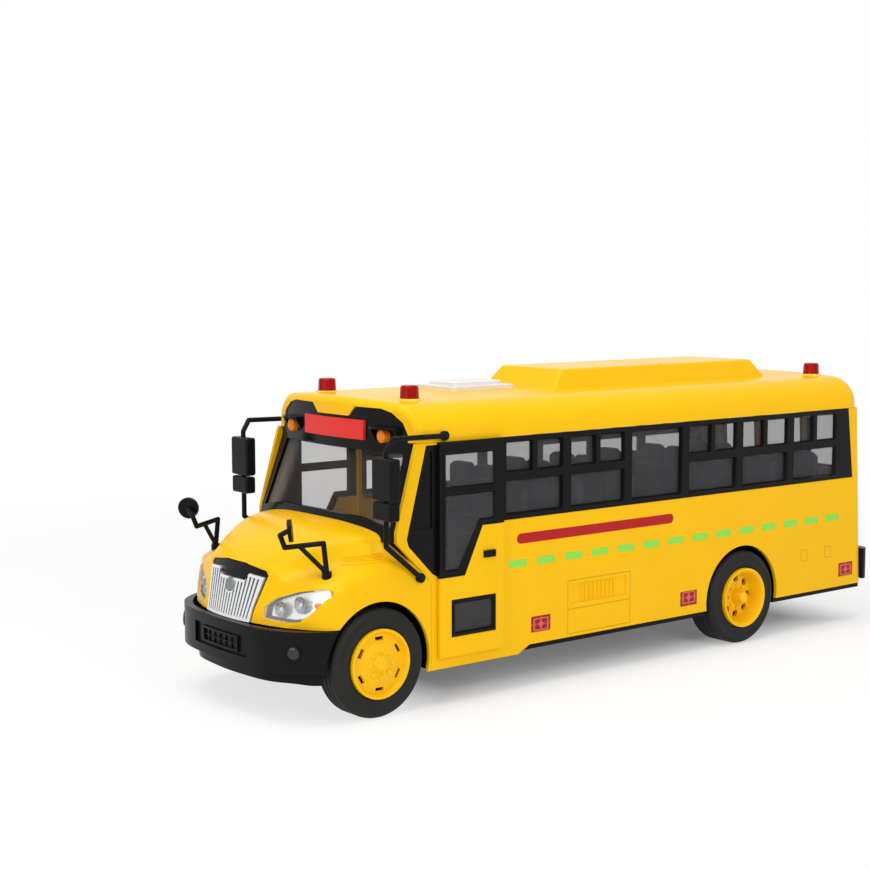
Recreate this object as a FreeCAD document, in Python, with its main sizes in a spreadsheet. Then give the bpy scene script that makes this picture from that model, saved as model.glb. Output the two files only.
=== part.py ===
import FreeCAD, Part
import functools
import math
import os

import Sketcher
from FreeCAD import Rotation, Vector

# A plastic push-along toy school bus, in millimetres.
# +X is the front, +Y the bus's left side, +Z up. The origin is on the floor, under the middle of
# the bumpers. Stations along the bus are measured from the front axle.

SIZES = {
    # overall
    "wheelbase": 206.0,
    "front_overhang": 42.0,
    "rear_overhang": 92.0,
    "body_half_width": 49.4,
    "wall": 1.6,
    "seam": 0.15,
    "slide_gap": 0.35,
    # lower body
    "skirt_height": 18.0,
    "front_skirt_height": 14.8,
    "skirt_step_behind": 70.0,
    "belt_height": 70.8,
    "band_top_height": 104.6,
    "rear_wall_behind": 295.5,
    "rear_wall_lean": 4.5,
    "corner_round": 6.0,
    "seam_behind": 24.8,
    "seam_height": 50.0,
    "pillar_base_behind": 8.0,
    "pillar_base_height": 71.0,
    "pillar_top_behind": 17.5,
    "pillar_width": 5.0,
    # roof
    "roof_height": 120.8,
    "roof_crown": 1.2,
    "roof_edge_round": 13.0,
    "roof_end_round": 9.0,
    "roof_front_round": 3.0,
    "roof_front_behind": 12.6,
    "roof_rear_behind": 291.0,
    # wheels and arches
    "arch_radius": 24.0,
    "well_depth": 18.0,
    "tyre_radius": 21.4,
    "front_tyre_width": 12.5,
    "rear_tyre_width": 15.0,
    "front_tyre_outer": 49.6,
    "rear_tyre_outer": 50.0,
    "rim_radius": 13.6,
    "axle_radius": 1.5,
    "axle_gap": 0.05,
    # windows
    "band_front_behind": 61.2,
    "band_rear_behind": 284.5,
    "band_rear_lean": 4.0,
    "band_post": 4.0,
    "band_rail": 1.8,
    "band_bar_height": 87.1,
    "band_bar_width": 2.8,
    "frame_proud": 0.15,
    "glass_thickness": 1.0,
    # doors
    "door_front_behind": 27.7,
    "door_rear_behind": 60.6,
    "door_bottom_height": 19.4,
    "door_belt_height": 51.2,
    "door_thickness": 1.6,
    "door_lip": 1.3,
    "door_travel": 19.5,
    # bonnet
    "bonnet_rear_height": 73.0,
    "bonnet_front_height": 57.6,
    "nose_height": 36.9,
    "nose_lean": 4.8,
    "nose_curve": 0.006,
    "nose_ahead": 38.6,
    "grille_top_half": 20.8,
    "grille_bottom_half": 16.1,
    "grille_bars": 17,
    "grille_bar_width": 1.15,
    # screen
    "screen_base_ahead": -1.0,
    "screen_bow_radius": 192.0,
    "screen_base_height": 67.0,
    "header_behind": 13.2,
    "header_height": 101.0,
    "header_top_height": 117.2,
    "mask_border": 2.6,
    "sign_half_width": 20.9,
    "sign_height": 7.8,
    # bumpers
    "bumper_bottom_height": 20.6,
    "bumper_wall": 2.4,
    "bumper_end_ahead": 18.5,
    "rear_bumper_top": 35.0,
    "rear_bumper_bottom": 20.0,
    "rear_bumper_wrap": 5.5,
    # roof pieces
    "pod_front_behind": 110.0,
    "pod_rear_behind": 252.0,
    "pod_height": 7.6,
    "pod_half_width": 25.0,
    "hatch_middle_behind": 82.0,
    "hatch_length": 34.0,
    "hatch_width": 26.0,
    "beacon_radius": 4.0,
    "beacon_height": 6.4,
    "beacon_half_spread": 29.0,
    "front_beacon_behind": 30.0,
    "rear_beacon_behind": 277.0,
    # base and inside
    "base_bottom": 15.6,
    "base_thickness": 1.8,
    "deck_height": 48.4,
    "deck_thickness": 1.2,
    "seat_pitch": 31.0,
    "seat_rows": 7,
    "seat_length": 12.0,
    "seat_back_height": 34.0,
    "screw_hole_radius": 1.6,
    "screw_spread_x": 110.0,
    "screw_spread_y": 50.0,
}

doc = FreeCAD.newDocument("toy_school_bus")
sheet = doc.addObject("Spreadsheet::Sheet", "Sizes")
for row, (alias, number) in enumerate(SIZES.items(), start=1):
    sheet.set("A%d" % row, alias)
    sheet.set("B%d" % row, str(number))
    sheet.setAlias("B%d" % row, alias)
doc.recompute()


class Size:
    """A number together with the spreadsheet expression that gives it."""

    def __init__(self, value, text):
        self.value = value
        self.text = text

    @staticmethod
    def of(other):
        if isinstance(other, Size):
            return other
        return Size(float(other), "(%.6g)" % other)

    def __add__(self, other):
        other = Size.of(other)
        return Size(self.value + other.value, "(%s + %s)" % (self.text, other.text))

    def __sub__(self, other):
        other = Size.of(other)
        return Size(self.value - other.value, "(%s - %s)" % (self.text, other.text))

    def __mul__(self, other):
        other = Size.of(other)
        return Size(self.value * other.value, "(%s * %s)" % (self.text, other.text))

    def __truediv__(self, other):
        other = Size.of(other)
        return Size(self.value / other.value, "(%s / %s)" % (self.text, other.text))

    def __neg__(self):
        return Size(-self.value, "(-1 * %s)" % self.text)

    def __radd__(self, other):
        return Size.of(other) + self

    def __rsub__(self, other):
        return Size.of(other) - self

    def __rmul__(self, other):
        return Size.of(other) * self


class SheetSizes:
    """Gives each spreadsheet alias as a Size."""

    def __getattr__(self, alias):
        return Size(float(sheet.get(alias)), "Sizes." + alias)


S = SheetSizes()
front_axle = (S.wheelbase + S.rear_overhang - S.front_overhang) / 2
rear_axle = front_axle - S.wheelbase
inner_half = S.body_half_width - S.wall


def behind(distance):
    """The X of a station behind the front axle."""
    return front_axle - distance


def ahead(distance):
    """The X of a station ahead of the front axle."""
    return front_axle + distance


def new_body(label):
    body = doc.addObject("PartDesign::Body", label)
    body.Label = label
    return body


def place(body, x=0, y=0, z=0):
    """Bind a sub-part's position to sizes."""
    for axis, size in (("x", x), ("y", y), ("z", z)):
        size = Size.of(size)
        body.setExpression("Placement.Base." + axis, size.text)
    doc.recompute()


def new_sketch(body, plane, level):
    """A sketch on one of the body's own origin planes, lifted to a level along its axis."""
    sketch = body.newObject("Sketcher::SketchObject", body.Label + "_outline")
    role = plane + "_Plane"
    plane_object = [item for item in body.Origin.OriginFeatures if item.Role == role][0]
    sketch.AttachmentSupport = (plane_object, [""])
    sketch.MapMode = "FlatFace"
    offset = -Size.of(level) if plane == "XZ" else Size.of(level)
    sketch.AttachmentOffset = FreeCAD.Placement(Vector(0, 0, offset.value), Rotation())
    sketch.setExpression("AttachmentOffset.Base.z", offset.text)
    return sketch


def pin(kind, geometry, point, size):
    """A driving distance from the sketch's origin, with the size that drives it."""
    return Sketcher.Constraint(kind, -1, 1, geometry, point, size.value), size


def draw_loop(sketch, loop):
    """Add a closed polygon, or a circle given as ("circle", across, up, radius)."""
    first = sketch.GeometryCount
    links = []
    if loop[0] == "circle":
        across, up, radius = [Size.of(item) for item in loop[1:]]
        centre = Vector(across.value, up.value, 0)
        sketch.addGeometry(Part.Circle(centre, Vector(0, 0, 1), radius.value), False)
        pins = [pin("DistanceX", first, 3, across), pin("DistanceY", first, 3, up)]
        pins.append((Sketcher.Constraint("Radius", first, radius.value), radius))
    else:
        corners = [(Size.of(across), Size.of(up)) for across, up in loop]
        points = [Vector(across.value, up.value, 0) for across, up in corners]
        count = len(points)
        lines = [Part.LineSegment(points[i], points[(i + 1) % count]) for i in range(count)]
        sketch.addGeometry(lines, False)
        pins = []
        for i, (across, up) in enumerate(corners):
            after = first + (i + 1) % count
            links.append(Sketcher.Constraint("Coincident", first + i, 2, after, 1))
            pins.append(pin("DistanceX", first + i, 1, across))
            pins.append(pin("DistanceY", first + i, 1, up))
    if links:
        sketch.addConstraint(links)
    numbers = sketch.addConstraint([constraint for constraint, size in pins])
    for number, (constraint, size) in zip(numbers, pins):
        sketch.setExpression("Constraints[%d]" % number, size.text)


def sweep_sketch(body, kind, plane, span, loops):
    low, high = Size.of(span[0]), Size.of(span[1])
    pads_up = plane != "XZ"
    starts_low = pads_up == (kind == "Pad")
    sketch = new_sketch(body, plane, low if starts_low else high)
    for loop in loops:
        draw_loop(sketch, loop)
    doc.recompute()
    feature = body.newObject("PartDesign::" + kind, body.Label + "_" + kind.lower())
    feature.Profile = sketch
    feature.setExpression("Length", (high - low).text)
    doc.recompute()
    return feature


def pad(body, plane, span, *loops):
    """Pad closed loops between two levels along the plane's axis."""
    return sweep_sketch(body, "Pad", plane, span, loops)


def pocket(body, plane, span, *loops):
    """Cut closed loops between two levels, and make sure that something was cut."""
    before = body.Shape.Volume
    feature = sweep_sketch(body, "Pocket", plane, span, loops)
    if not body.Shape.Volume < before - 1e-3:
        raise RuntimeError("%s: a pocket cuts nothing" % body.Label)
    return feature


def rectangle(low_across, high_across, low_up, high_up):
    """The four corners of a rectangle."""
    return [(low_across, low_up), (high_across, low_up), (high_across, high_up), (low_across, high_up)]


def straight_edges(shape, axis, chosen):
    """Names of the corner edges that run along an axis and whose middle is chosen."""
    names = []
    for index, edge in enumerate(shape.Edges, start=1):
        if edge.Curve.TypeId != "Part::GeomLine":
            continue
        if abs(edge.Curve.Direction.dot(axis)) < 0.999:
            continue
        faces = shape.ancestorsOfType(edge, Part.Face)
        flat = [face for face in faces if face.Surface.TypeId == "Part::GeomPlane"]
        if len(flat) == 2 and chosen(edge.CenterOfMass):
            names.append("Edge%d" % index)
    return names


def round_edges(body, radius, axis, chosen=lambda middle: True):
    """Fillet the corner edges that run along an axis."""
    base = body.Tip
    names = straight_edges(base.Shape, axis, chosen)
    if not names:
        raise RuntimeError("%s: no edge to round" % body.Label)
    radius = Size.of(radius)
    fillet = body.newObject("PartDesign::Fillet", body.Label + "_fillet")
    fillet.Base = (base, names)
    fillet.Radius = radius.value
    fillet.setExpression("Radius", radius.text)
    doc.recompute()
    return fillet


def revolve(body, plane, axis_name, loop):
    """Turn a closed loop about one of the sketch's own axes."""
    sketch = new_sketch(body, plane, 0)
    draw_loop(sketch, loop)
    doc.recompute()
    feature = body.newObject("PartDesign::Revolution", body.Label + "_turn")
    feature.Profile = sketch
    feature.ReferenceAxis = (sketch, [axis_name])
    feature.Angle = 360
    doc.recompute()
    return feature


def repeat_round(body, feature, role, count):
    """A polar pattern of one feature about the body's own axis."""
    axis_object = [item for item in body.Origin.OriginFeatures if item.Role == role][0]
    pattern = body.newObject("PartDesign::PolarPattern", body.Label + "_round")
    pattern.Originals = [feature]
    pattern.Axis = (axis_object, [""])
    pattern.Angle = 360
    pattern.Occurrences = count
    body.Tip = pattern
    doc.recompute()
    return pattern


def repeat_line(body, feature, role, length, count):
    """A linear pattern of one feature along the body's own axis."""
    axis_object = [item for item in body.Origin.OriginFeatures if item.Role == role][0]
    length, count = Size.of(length), Size.of(count)
    pattern = body.newObject("PartDesign::LinearPattern", body.Label + "_row")
    pattern.Originals = [feature]
    pattern.Direction = (axis_object, [""])
    pattern.Length = length.value
    pattern.Occurrences = int(count.value)
    pattern.setExpression("Length", length.text)
    pattern.setExpression("Occurrences", count.text)
    body.Tip = pattern
    doc.recompute()
    return pattern


def shaped(label, shape):
    """A sub-part whose outline is set with Part's own functions."""
    item = doc.addObject("Part::Feature", label)
    item.Label = label
    item.Shape = shape
    item.Placement = FreeCAD.Placement()
    return item


ALONG = Vector(1, 0, 0)
ACROSS = Vector(0, 1, 0)
UP = Vector(0, 0, 1)
SIDES = (("left", 1), ("right", -1))


def side_span(sign, near, far):
    """Low and high Y of a slab that lies between two distances from the centre plane."""
    near, far = Size.of(near), Size.of(far)
    return (near, far) if sign > 0 else (-far, -near)


def block(x_low, x_high, y_low, y_high, z_low, z_high):
    """A box between two corners, from plain numbers."""
    corner = Vector(x_low, y_low, z_low)
    return Part.makeBox(x_high - x_low, y_high - y_low, z_high - z_low, corner)


def prism(points, direction):
    """A straight prism from a closed polygon of points."""
    return Part.Face(Part.makePolygon(points + [points[0]])).extrude(direction)


# The seam between body and bonnet, seen from the side.
def seam_line(shift):
    """Corners of the front edge of the body side, moved forwards by a shift."""
    return [
        (behind(S.seam_behind) + shift, S.front_skirt_height),
        (behind(S.seam_behind) + shift, S.seam_height),
        (behind(S.pillar_base_behind) + shift, S.pillar_base_height - 4),
        (behind(S.pillar_base_behind) + shift, S.pillar_base_height),
        (behind(S.pillar_top_behind) + shift, S.band_top_height),
    ]


DOORWAY_LIP = S.door_lip
doorway = rectangle(
    behind(S.door_rear_behind) + DOORWAY_LIP,
    behind(S.door_front_behind) - DOORWAY_LIP,
    S.door_bottom_height + DOORWAY_LIP,
    S.band_top_height - DOORWAY_LIP,
)


def quarter_outline(gap):
    """The window panel between the pillar and the door, shrunk by a gap."""
    rear = behind(S.door_front_behind) - DOORWAY_LIP
    top_front = behind(S.pillar_top_behind) - S.pillar_width
    base_front = behind(S.pillar_base_behind) - S.pillar_width
    return [
        (top_front - gap, S.band_top_height - 0.8 - gap),
        (base_front - gap, S.pillar_base_height - 3),
        (base_front - 1.0 - gap, S.pillar_base_height - 6),
        (behind(S.door_front_behind) + 2.2, S.door_belt_height + 2.0 + gap),
        (rear, S.door_belt_height + gap),
        (rear, S.band_top_height - DOORWAY_LIP),
        (rear + 0.6, S.band_top_height - 0.8 - gap),
    ]


def band_outline(gap):
    """The side window band, shrunk by a gap."""
    front = behind(S.band_front_behind) - gap
    low = S.belt_height + gap
    top = S.band_top_height - gap
    rear_low = behind(S.band_rear_behind) + gap
    return [(front, low), (front, top), (rear_low + S.band_rear_lean, top), (rear_low, low)]


def rear_edge(height, inset):
    """X of the leaning rear wall at a height, moved inwards by an inset."""
    share = (height - S.skirt_height) / (S.band_top_height - S.skirt_height)
    return behind(S.rear_wall_behind) + share * S.rear_wall_lean + inset


def make_body_shell():
    body = new_body("body_shell")
    half = S.body_half_width
    outline = seam_line(-S.seam) + [
        (rear_edge(S.band_top_height, 0), S.band_top_height),
        (rear_edge(S.skirt_height, 0), S.skirt_height),
        (behind(S.skirt_step_behind) - 6, S.skirt_height),
        (behind(S.skirt_step_behind), S.front_skirt_height),
    ]
    pad(body, "XZ", (-half, half), outline)
    rear_limit = rear_edge(S.skirt_height, 0).value + 8
    lean = Vector(S.rear_wall_lean.value, 0, (S.band_top_height - S.skirt_height).value).normalize()
    front = ahead(5)
    pocket(body, "XZ", (-inner_half, inner_half), [
        (front, S.front_skirt_height - 1),
        (front, S.band_top_height + 1),
        (rear_edge(S.band_top_height, S.wall), S.band_top_height + 1),
        (rear_edge(S.skirt_height, S.wall), S.front_skirt_height - 1),
    ])
    round_edges(body, S.corner_round - S.wall, lean,
                lambda middle: middle.x < rear_limit and abs(middle.y) < inner_half.value + 0.1)
    round_edges(body, S.corner_round, lean,
                lambda middle: middle.x < rear_limit and abs(middle.y) > inner_half.value + 0.1)
    for side, sign in SIDES:
        wall_span = side_span(sign, inner_half - 1, half + 1)
        pocket(body, "XZ", wall_span, band_outline(0))
        pocket(body, "XZ", wall_span, doorway)
        pocket(body, "XZ", wall_span, quarter_outline(0))
        arches = [("circle", axle, S.tyre_radius, S.arch_radius) for axle in (rear_axle,)]
        pocket(body, "XZ", wall_span, *arches)
        pocket(body, "XZ", side_span(sign, half - 0.6, half + 1), *reflector_loops(0))
        locker_x = behind(115)
        groove = side_span(sign, half - 0.5, half + 1)
        pocket(body, "XZ", groove, rectangle(locker_x - 16, locker_x + 16, S.skirt_height + 14, S.skirt_height + 22.4))
    make_rear_openings(body)
    return body


def reflector_loops(gap):
    """The three reflector outlines on a side, shrunk by a gap."""
    loops = []
    for distance, height in ((82.2, 26.0), (170.4, 25.4), (280.8, 26.0)):
        middle = behind(distance)
        loops.append(rectangle(middle - 5.3 + gap, middle + 5.3 - gap, height - 3.3 + gap, height + 3.3 - gap))
    return loops


REAR_PANES = ((-38.0, -18.0), (-12.0, 12.0), (18.0, 38.0))


def rear_loops(grow):
    return [
        rectangle(low - grow, high + grow, S.belt_height + 4 - grow, S.band_top_height - 5 + grow)
        for low, high in REAR_PANES
    ]


def make_rear_openings(body):
    start = rear_edge(S.skirt_height, -2)
    pocket(body, "YZ", (start, rear_edge(S.band_top_height, 4)), *rear_loops(1.6))


def make_window_band(side, sign):
    body = new_body("window_band_" + side)
    outer = S.body_half_width + S.frame_proud
    pad(body, "XZ", side_span(sign, inner_half, outer), band_outline(S.seam))
    low = S.belt_height + S.band_rail
    top = S.band_top_height - S.band_rail
    bar_low = S.band_bar_height
    bar_top = S.band_bar_height + S.band_bar_width
    first = behind(S.band_front_behind) - S.band_rail
    last = behind(S.band_rear_behind) + S.band_rear_lean + 9
    bays = 6
    pitch = (first - last + S.band_post) / bays
    loops = []
    for index in range(bays):
        front = first - pitch * index
        rear = front - pitch + S.band_post
        middle = (front + rear) / 2
        half_bar = S.band_bar_width / 2 - 0.4
        if index == 2:
            loops.append(rectangle(rear, front, low, top))
            continue
        loops.append(rectangle(rear, front, low, bar_low))
        loops.append(rectangle(rear, middle - half_bar, bar_top, top))
        loops.append(rectangle(middle + half_bar, front, bar_top, top))
    pocket(body, "XZ", side_span(sign, inner_half - 1, outer + 1), *loops)
    return body


def make_window_glass(side, sign):
    body = new_body("window_glass_" + side)
    outer = inner_half - S.seam
    front = behind(S.band_front_behind) - 0.6
    rear = behind(S.band_rear_behind) + S.band_rear_lean
    pad(body, "XZ", side_span(sign, outer - S.glass_thickness, outer),
        rectangle(rear, front, S.belt_height - 1.5, S.band_top_height - 0.6))
    return body


def make_quarter_window(side, sign):
    body = new_body("quarter_window_" + side)
    outer = S.body_half_width
    pad(body, "XZ", side_span(sign, inner_half, outer), quarter_outline(S.seam))
    base_front = behind(S.pillar_base_behind) - S.pillar_width
    pocket(body, "XZ", side_span(sign, outer - 0.7, outer + 1), [
        (behind(S.pillar_top_behind) - S.pillar_width - 2.2, S.band_top_height - 3.2),
        (base_front - 2.6, S.pillar_base_height + 0.4),
        (behind(S.door_front_behind) + 2.2, S.pillar_base_height + 0.4),
        (behind(S.door_front_behind) + 2.2, S.band_top_height - 3.2),
    ])
    return body


def make_reflectors():
    body = new_body("side_reflectors")
    for side, sign in SIDES:
        outer = S.body_half_width + 0.1
        pad(body, "XZ", side_span(sign, outer - 0.65, outer), *reflector_loops(S.seam))
    return body


def door_split(gap):
    """Top edge of the yellow door panel, which is also the lower edge of the black frame."""
    return [
        (behind(S.door_front_behind), S.door_belt_height + gap),
        (behind(S.door_front_behind) - 12.6, S.door_belt_height + gap),
        (behind(S.door_rear_behind) + 11.2, S.belt_height - 0.4 + gap),
        (behind(S.door_rear_behind), S.belt_height - 0.4 + gap),
    ]


def door_faces(sign):
    inner = S.body_half_width + S.slide_gap
    return side_span(sign, inner, inner + S.door_thickness)


def door_hook(body, sign, edge_height, reach):
    """A lug through the doorway with a lip that grips the wall from inside."""
    front = behind(S.door_front_behind) - DOORWAY_LIP - 0.6
    rear = front - 8
    leaf_inner = S.body_half_width + S.slide_gap
    lip_outer = inner_half - S.slide_gap
    lip_inner = lip_outer - 1.4
    clear = edge_height + 0.3 * reach
    shelf = clear + 1.4 * reach
    low, high = (clear, shelf) if reach > 0 else (shelf, clear)
    pad(body, "XZ", side_span(sign, lip_inner, leaf_inner), rectangle(rear, front, low, high))
    tip = edge_height - 2.2 * reach
    low, high = (tip, shelf) if reach > 0 else (shelf, tip)
    pad(body, "XZ", side_span(sign, lip_inner, lip_outer), rectangle(rear, front, low, high))


def make_door_panel(side, sign):
    body = new_body("door_panel_" + side)
    bottom = S.door_bottom_height
    outline = door_split(0) + [
        (behind(S.door_rear_behind), bottom),
        (behind(S.door_front_behind), bottom),
    ]
    faces = door_faces(sign)
    pad(body, "XZ", faces, outline)
    pocket(body, "XZ", (faces[0] - 1, faces[1] + 1), low_window(0))
    door_hook(body, sign, bottom + DOORWAY_LIP, 1)
    return body


def low_window(gap):
    middle = behind(44.9)
    return rectangle(middle - 11.4 + gap, middle + 11.4 - gap, 27.2 + gap, 42.2 - gap)


def make_door_frame(side, sign):
    body = new_body("door_frame_" + side)
    top = S.band_top_height + 0.2
    outline = door_split(S.seam) + [
        (behind(S.door_rear_behind), top),
        (behind(S.door_front_behind), top),
    ]
    faces = door_faces(sign)
    pad(body, "XZ", faces, outline)
    through = (faces[0] - 1, faces[1] + 1)
    pocket(body, "XZ", through, *door_panes(0))
    pad(body, "XZ", faces, low_window(S.seam))
    pocket(body, "XZ", through, low_window(1.3))
    outer = S.body_half_width + S.slide_gap + S.door_thickness
    pad(body, "XZ", side_span(sign, outer + S.seam, outer + 0.9),
        rectangle(behind(55.6), behind(49.7), 57.4, 60.2))
    door_hook(body, sign, S.band_top_height - DOORWAY_LIP, -1)
    return body


def door_panes(gap):
    """Upper and lower panes of the door's window."""
    front = behind(S.door_front_behind) - 2.6
    rear = behind(S.door_rear_behind) + 4.9
    bar = 85.2
    upper = rectangle(rear + gap, front - gap, bar + 1.2 + gap, S.band_top_height - 4.4 - gap)
    lower = [
        (front - gap, S.door_belt_height + 2.4 + gap),
        (front - gap, bar - 1.2 - gap),
        (rear + gap, bar - 1.2 - gap),
        (rear + gap, S.belt_height + 1.8 + gap),
        (rear + 7.3 + gap, S.belt_height + 1.8 + gap),
        (front - 7.2, S.door_belt_height + 2.4 + gap),
    ]
    return upper, lower


def make_door_glass(side, sign):
    body = new_body("door_glass_" + side)
    inner = S.body_half_width + S.slide_gap
    span = side_span(sign, inner + 0.3, inner + 1.1)
    pad(body, "XZ", span, *door_panes(S.seam))
    pad(body, "XZ", span, low_window(1.3 + S.seam.value))
    return body


def make_tyre(label, x, outer, width, sign):
    """A tyre turned about its own axle line, with rounded shoulders and tread grooves."""
    body = new_body(label)
    radius = S.tyre_radius
    inner_face = outer - width
    rim = S.rim_radius + S.seam / 3
    profile = [
        (inner_face, rim),
        (outer - 0.6, rim),
        (outer, rim + 1.2),
        (outer, radius - 2.4),
        (outer - 0.7, radius - 0.8),
        (outer - 2.0, radius),
        (inner_face + 2.0, radius),
        (inner_face + 0.7, radius - 0.8),
        (inner_face, radius - 2.4),
    ]
    loop = [(across * sign, up) for across, up in profile]
    revolve(body, "YZ", "H_Axis", loop)
    grooves = []
    for share in (0.3, 0.5, 0.7):
        middle = (inner_face + width * share) * sign
        grooves.append(rectangle(middle - 0.4, middle + 0.4, radius - 0.7, radius + 1))
    sketch = new_sketch(body, "YZ", 0)
    for groove in grooves:
        draw_loop(sketch, groove)
    doc.recompute()
    cut = body.newObject("PartDesign::Groove", label + "_tread")
    cut.Profile = sketch
    cut.ReferenceAxis = (sketch, ["H_Axis"])
    cut.Angle = 360
    doc.recompute()
    place(body, x, 0, S.tyre_radius)
    return body


def make_front_rim(side, sign):
    """A raised wheel disc with six slots, a hub and a ring of nuts."""
    body = new_body("front_rim_" + side)
    outer = S.front_tyre_outer
    back = outer - S.front_tyre_width + 1
    bore = S.axle_radius + S.axle_gap / 2
    profile = [
        (back, bore),
        (outer + 1.4, bore),
        (outer + 1.4, 3.0),
        (outer + 0.6, 3.6),
        (outer + 0.6, 6.4),
        (outer - 0.4, 9.0),
        (outer - 0.9, 11.6),
        (outer + 0.9, 12.6),
        (outer + 0.9, S.rim_radius),
        (outer - 1.8, S.rim_radius),
        (back, S.rim_radius),
    ]
    revolve(body, "YZ", "H_Axis", [(across * sign, up) for across, up in profile])
    slot = pocket(body, "XZ", side_span(sign, outer - 4, outer + 3), rectangle(-1.9, 1.9, 9.2, 10.6))
    repeat_round(body, slot, "Y_Axis", 6)
    nut = pad(body, "XZ", side_span(sign, outer, outer + 1.1), ("circle", 0, 5.2, 0.8))
    repeat_round(body, nut, "Y_Axis", 8)
    place(body, front_axle, 0, S.tyre_radius)
    return body


def make_rear_rim(side, sign):
    """A deep dished twin-wheel disc with round hand holes and a hub."""
    body = new_body("rear_rim_" + side)
    outer = S.rear_tyre_outer
    back = outer - S.rear_tyre_width + 1
    bore = S.axle_radius + S.axle_gap / 2
    dish = outer - 5.0
    profile = [
        (back, bore),
        (outer - 1.0, bore),
        (outer - 1.0, 2.8),
        (dish + 1.2, 3.8),
        (dish + 0.6, 6.6),
        (dish, 10.0),
        (outer + 0.6, 12.0),
        (outer + 1.2, 12.6),
        (outer + 1.2, S.rim_radius),
        (back, S.rim_radius),
    ]
    revolve(body, "YZ", "H_Axis", [(across * sign, up) for across, up in profile])
    hole = pocket(body, "XZ", side_span(sign, dish - 4, outer + 3), ("circle", 0, 8.2, 1.7))
    repeat_round(body, hole, "Y_Axis", 8)
    nut = pad(body, "XZ", side_span(sign, dish, dish + 1.6), ("circle", 0, 5.2, 0.7))
    repeat_round(body, nut, "Y_Axis", 8)
    place(body, rear_axle, 0, S.tyre_radius)
    return body


def make_axle(label, x, outer):
    """A plain steel rod that carries both wheels."""
    axle = doc.addObject("Part::Cylinder", label)
    axle.Label = label
    reach = outer + 0.8
    axle.setExpression("Radius", S.axle_radius.text)
    axle.setExpression("Height", (reach * 2).text)
    axle.Placement = FreeCAD.Placement(Vector(0, 0, 0), Rotation(ALONG, 90))
    axle.setExpression("Placement.Base.x", x.text)
    axle.setExpression("Placement.Base.y", reach.text)
    axle.setExpression("Placement.Base.z", S.tyre_radius.text)
    doc.recompute()
    return axle


def bow_sag(half):
    """How far the bowed screen and header lie further back at a distance from the middle."""
    radius = S.screen_bow_radius.value
    return radius - math.sqrt(radius * radius - half * half)


def curved_band(x_middle, thickness, half, low, high, lean=0.0):
    """A vertical or leaning slab that is bowed in plan: its middle lies furthest ahead."""
    sag = bow_sag(half)

    def line(x):
        return Part.Arc(Vector(x - sag, -half, low), Vector(x, 0, low), Vector(x - sag, half, low)).toShape()
    outer = line(x_middle)
    inner = line(x_middle - thickness)
    ends = []
    for near, far in ((outer.Vertexes[0], inner.Vertexes[0]), (outer.Vertexes[1], inner.Vertexes[1])):
        ends.append(Part.makeLine(near.Point, far.Point))
    wire = Part.Wire(Part.__sortEdges__([outer, inner] + ends))
    return Part.Face(wire).extrude(Vector(lean, 0, high - low))


def section_prism(points, x_low, x_high):
    """A prism along X from a closed outline of (y, z) points."""
    corners = [Vector(x_low, y, z) for y, z in points]
    return prism(corners, Vector(x_high - x_low, 0, 0))


def side_prism(points, y_low, y_high):
    """A prism along Y from a closed outline of (x, z) points."""
    corners = [Vector(x, y_low, z) for x, z in points]
    return prism(corners, Vector(0, y_high - y_low, 0))


@functools.lru_cache(maxsize=None)
def roof_solid(inset):
    """The roof's outer form, or its hollow when inset by the wall."""
    half = S.body_half_width.value - inset
    low = (S.band_top_height + S.seam).value - (1.0 if inset else 0.0)
    top = S.roof_height.value - inset
    shoulder = top - S.roof_crown.value
    radius = S.roof_edge_round.value - inset
    corner = radius * (1 - math.sqrt(0.5))
    edges = [
        Part.makeLine(Vector(0, -half, low), Vector(0, -half, shoulder - radius)),
        Part.Arc(
            Vector(0, -half, shoulder - radius),
            Vector(0, -half + corner, shoulder - corner),
            Vector(0, -half + radius, shoulder)).toShape(),
        Part.Arc(Vector(0, -half + radius, shoulder), Vector(0, 0, top), Vector(0, half - radius, shoulder)).toShape(),
        Part.Arc(
            Vector(0, half - radius, shoulder),
            Vector(0, half - corner, shoulder - corner),
            Vector(0, half, shoulder - radius)).toShape(),
        Part.makeLine(Vector(0, half, shoulder - radius), Vector(0, half, low)),
        Part.makeLine(Vector(0, half, low), Vector(0, -half, low)),
    ]
    rear = behind(S.roof_rear_behind).value + inset
    front = behind(S.roof_front_behind).value - inset
    bar = Part.Face(Part.Wire(edges)).extrude(Vector(front - rear, 0, 0))
    bar.translate(Vector(rear, 0, 0))
    width = S.body_half_width.value + 5
    sag = bow_sag(width)
    bow = Part.Arc(Vector(front - sag, -width, 0), Vector(front, 0, 0), Vector(front - sag, width, 0)).toShape()
    cutter = [Vector(front - sag, width, 0), Vector(front + 20, width, 0), Vector(front + 20, -width, 0),
              Vector(front - sag, -width, 0)]
    lines = [Part.makeLine(cutter[i], cutter[i + 1]) for i in range(3)]
    ahead_of_bow = Part.Face(Part.Wire(Part.__sortEdges__([bow] + lines))).extrude(Vector(0, 0, 200))
    solid = bar.cut(ahead_of_bow)
    rear_edges = [edge for edge in solid.Edges
                  if edge.CenterOfMass.z > low + 0.5 and edge.BoundBox.XLength < 60 and edge.CenterOfMass.x < rear + 0.1]
    solid = solid.makeFillet(S.roof_end_round.value - inset * 0.5, rear_edges)
    front_edges = []
    for edge in solid.Edges:
        middle = edge.CenterOfMass
        if middle.z > low + 0.5 and edge.BoundBox.XLength < 60 and middle.x > front - sag - 2:
            front_edges.append(edge)
    return solid.makeFillet(S.roof_front_round.value - inset * 0.5, front_edges)


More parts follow.
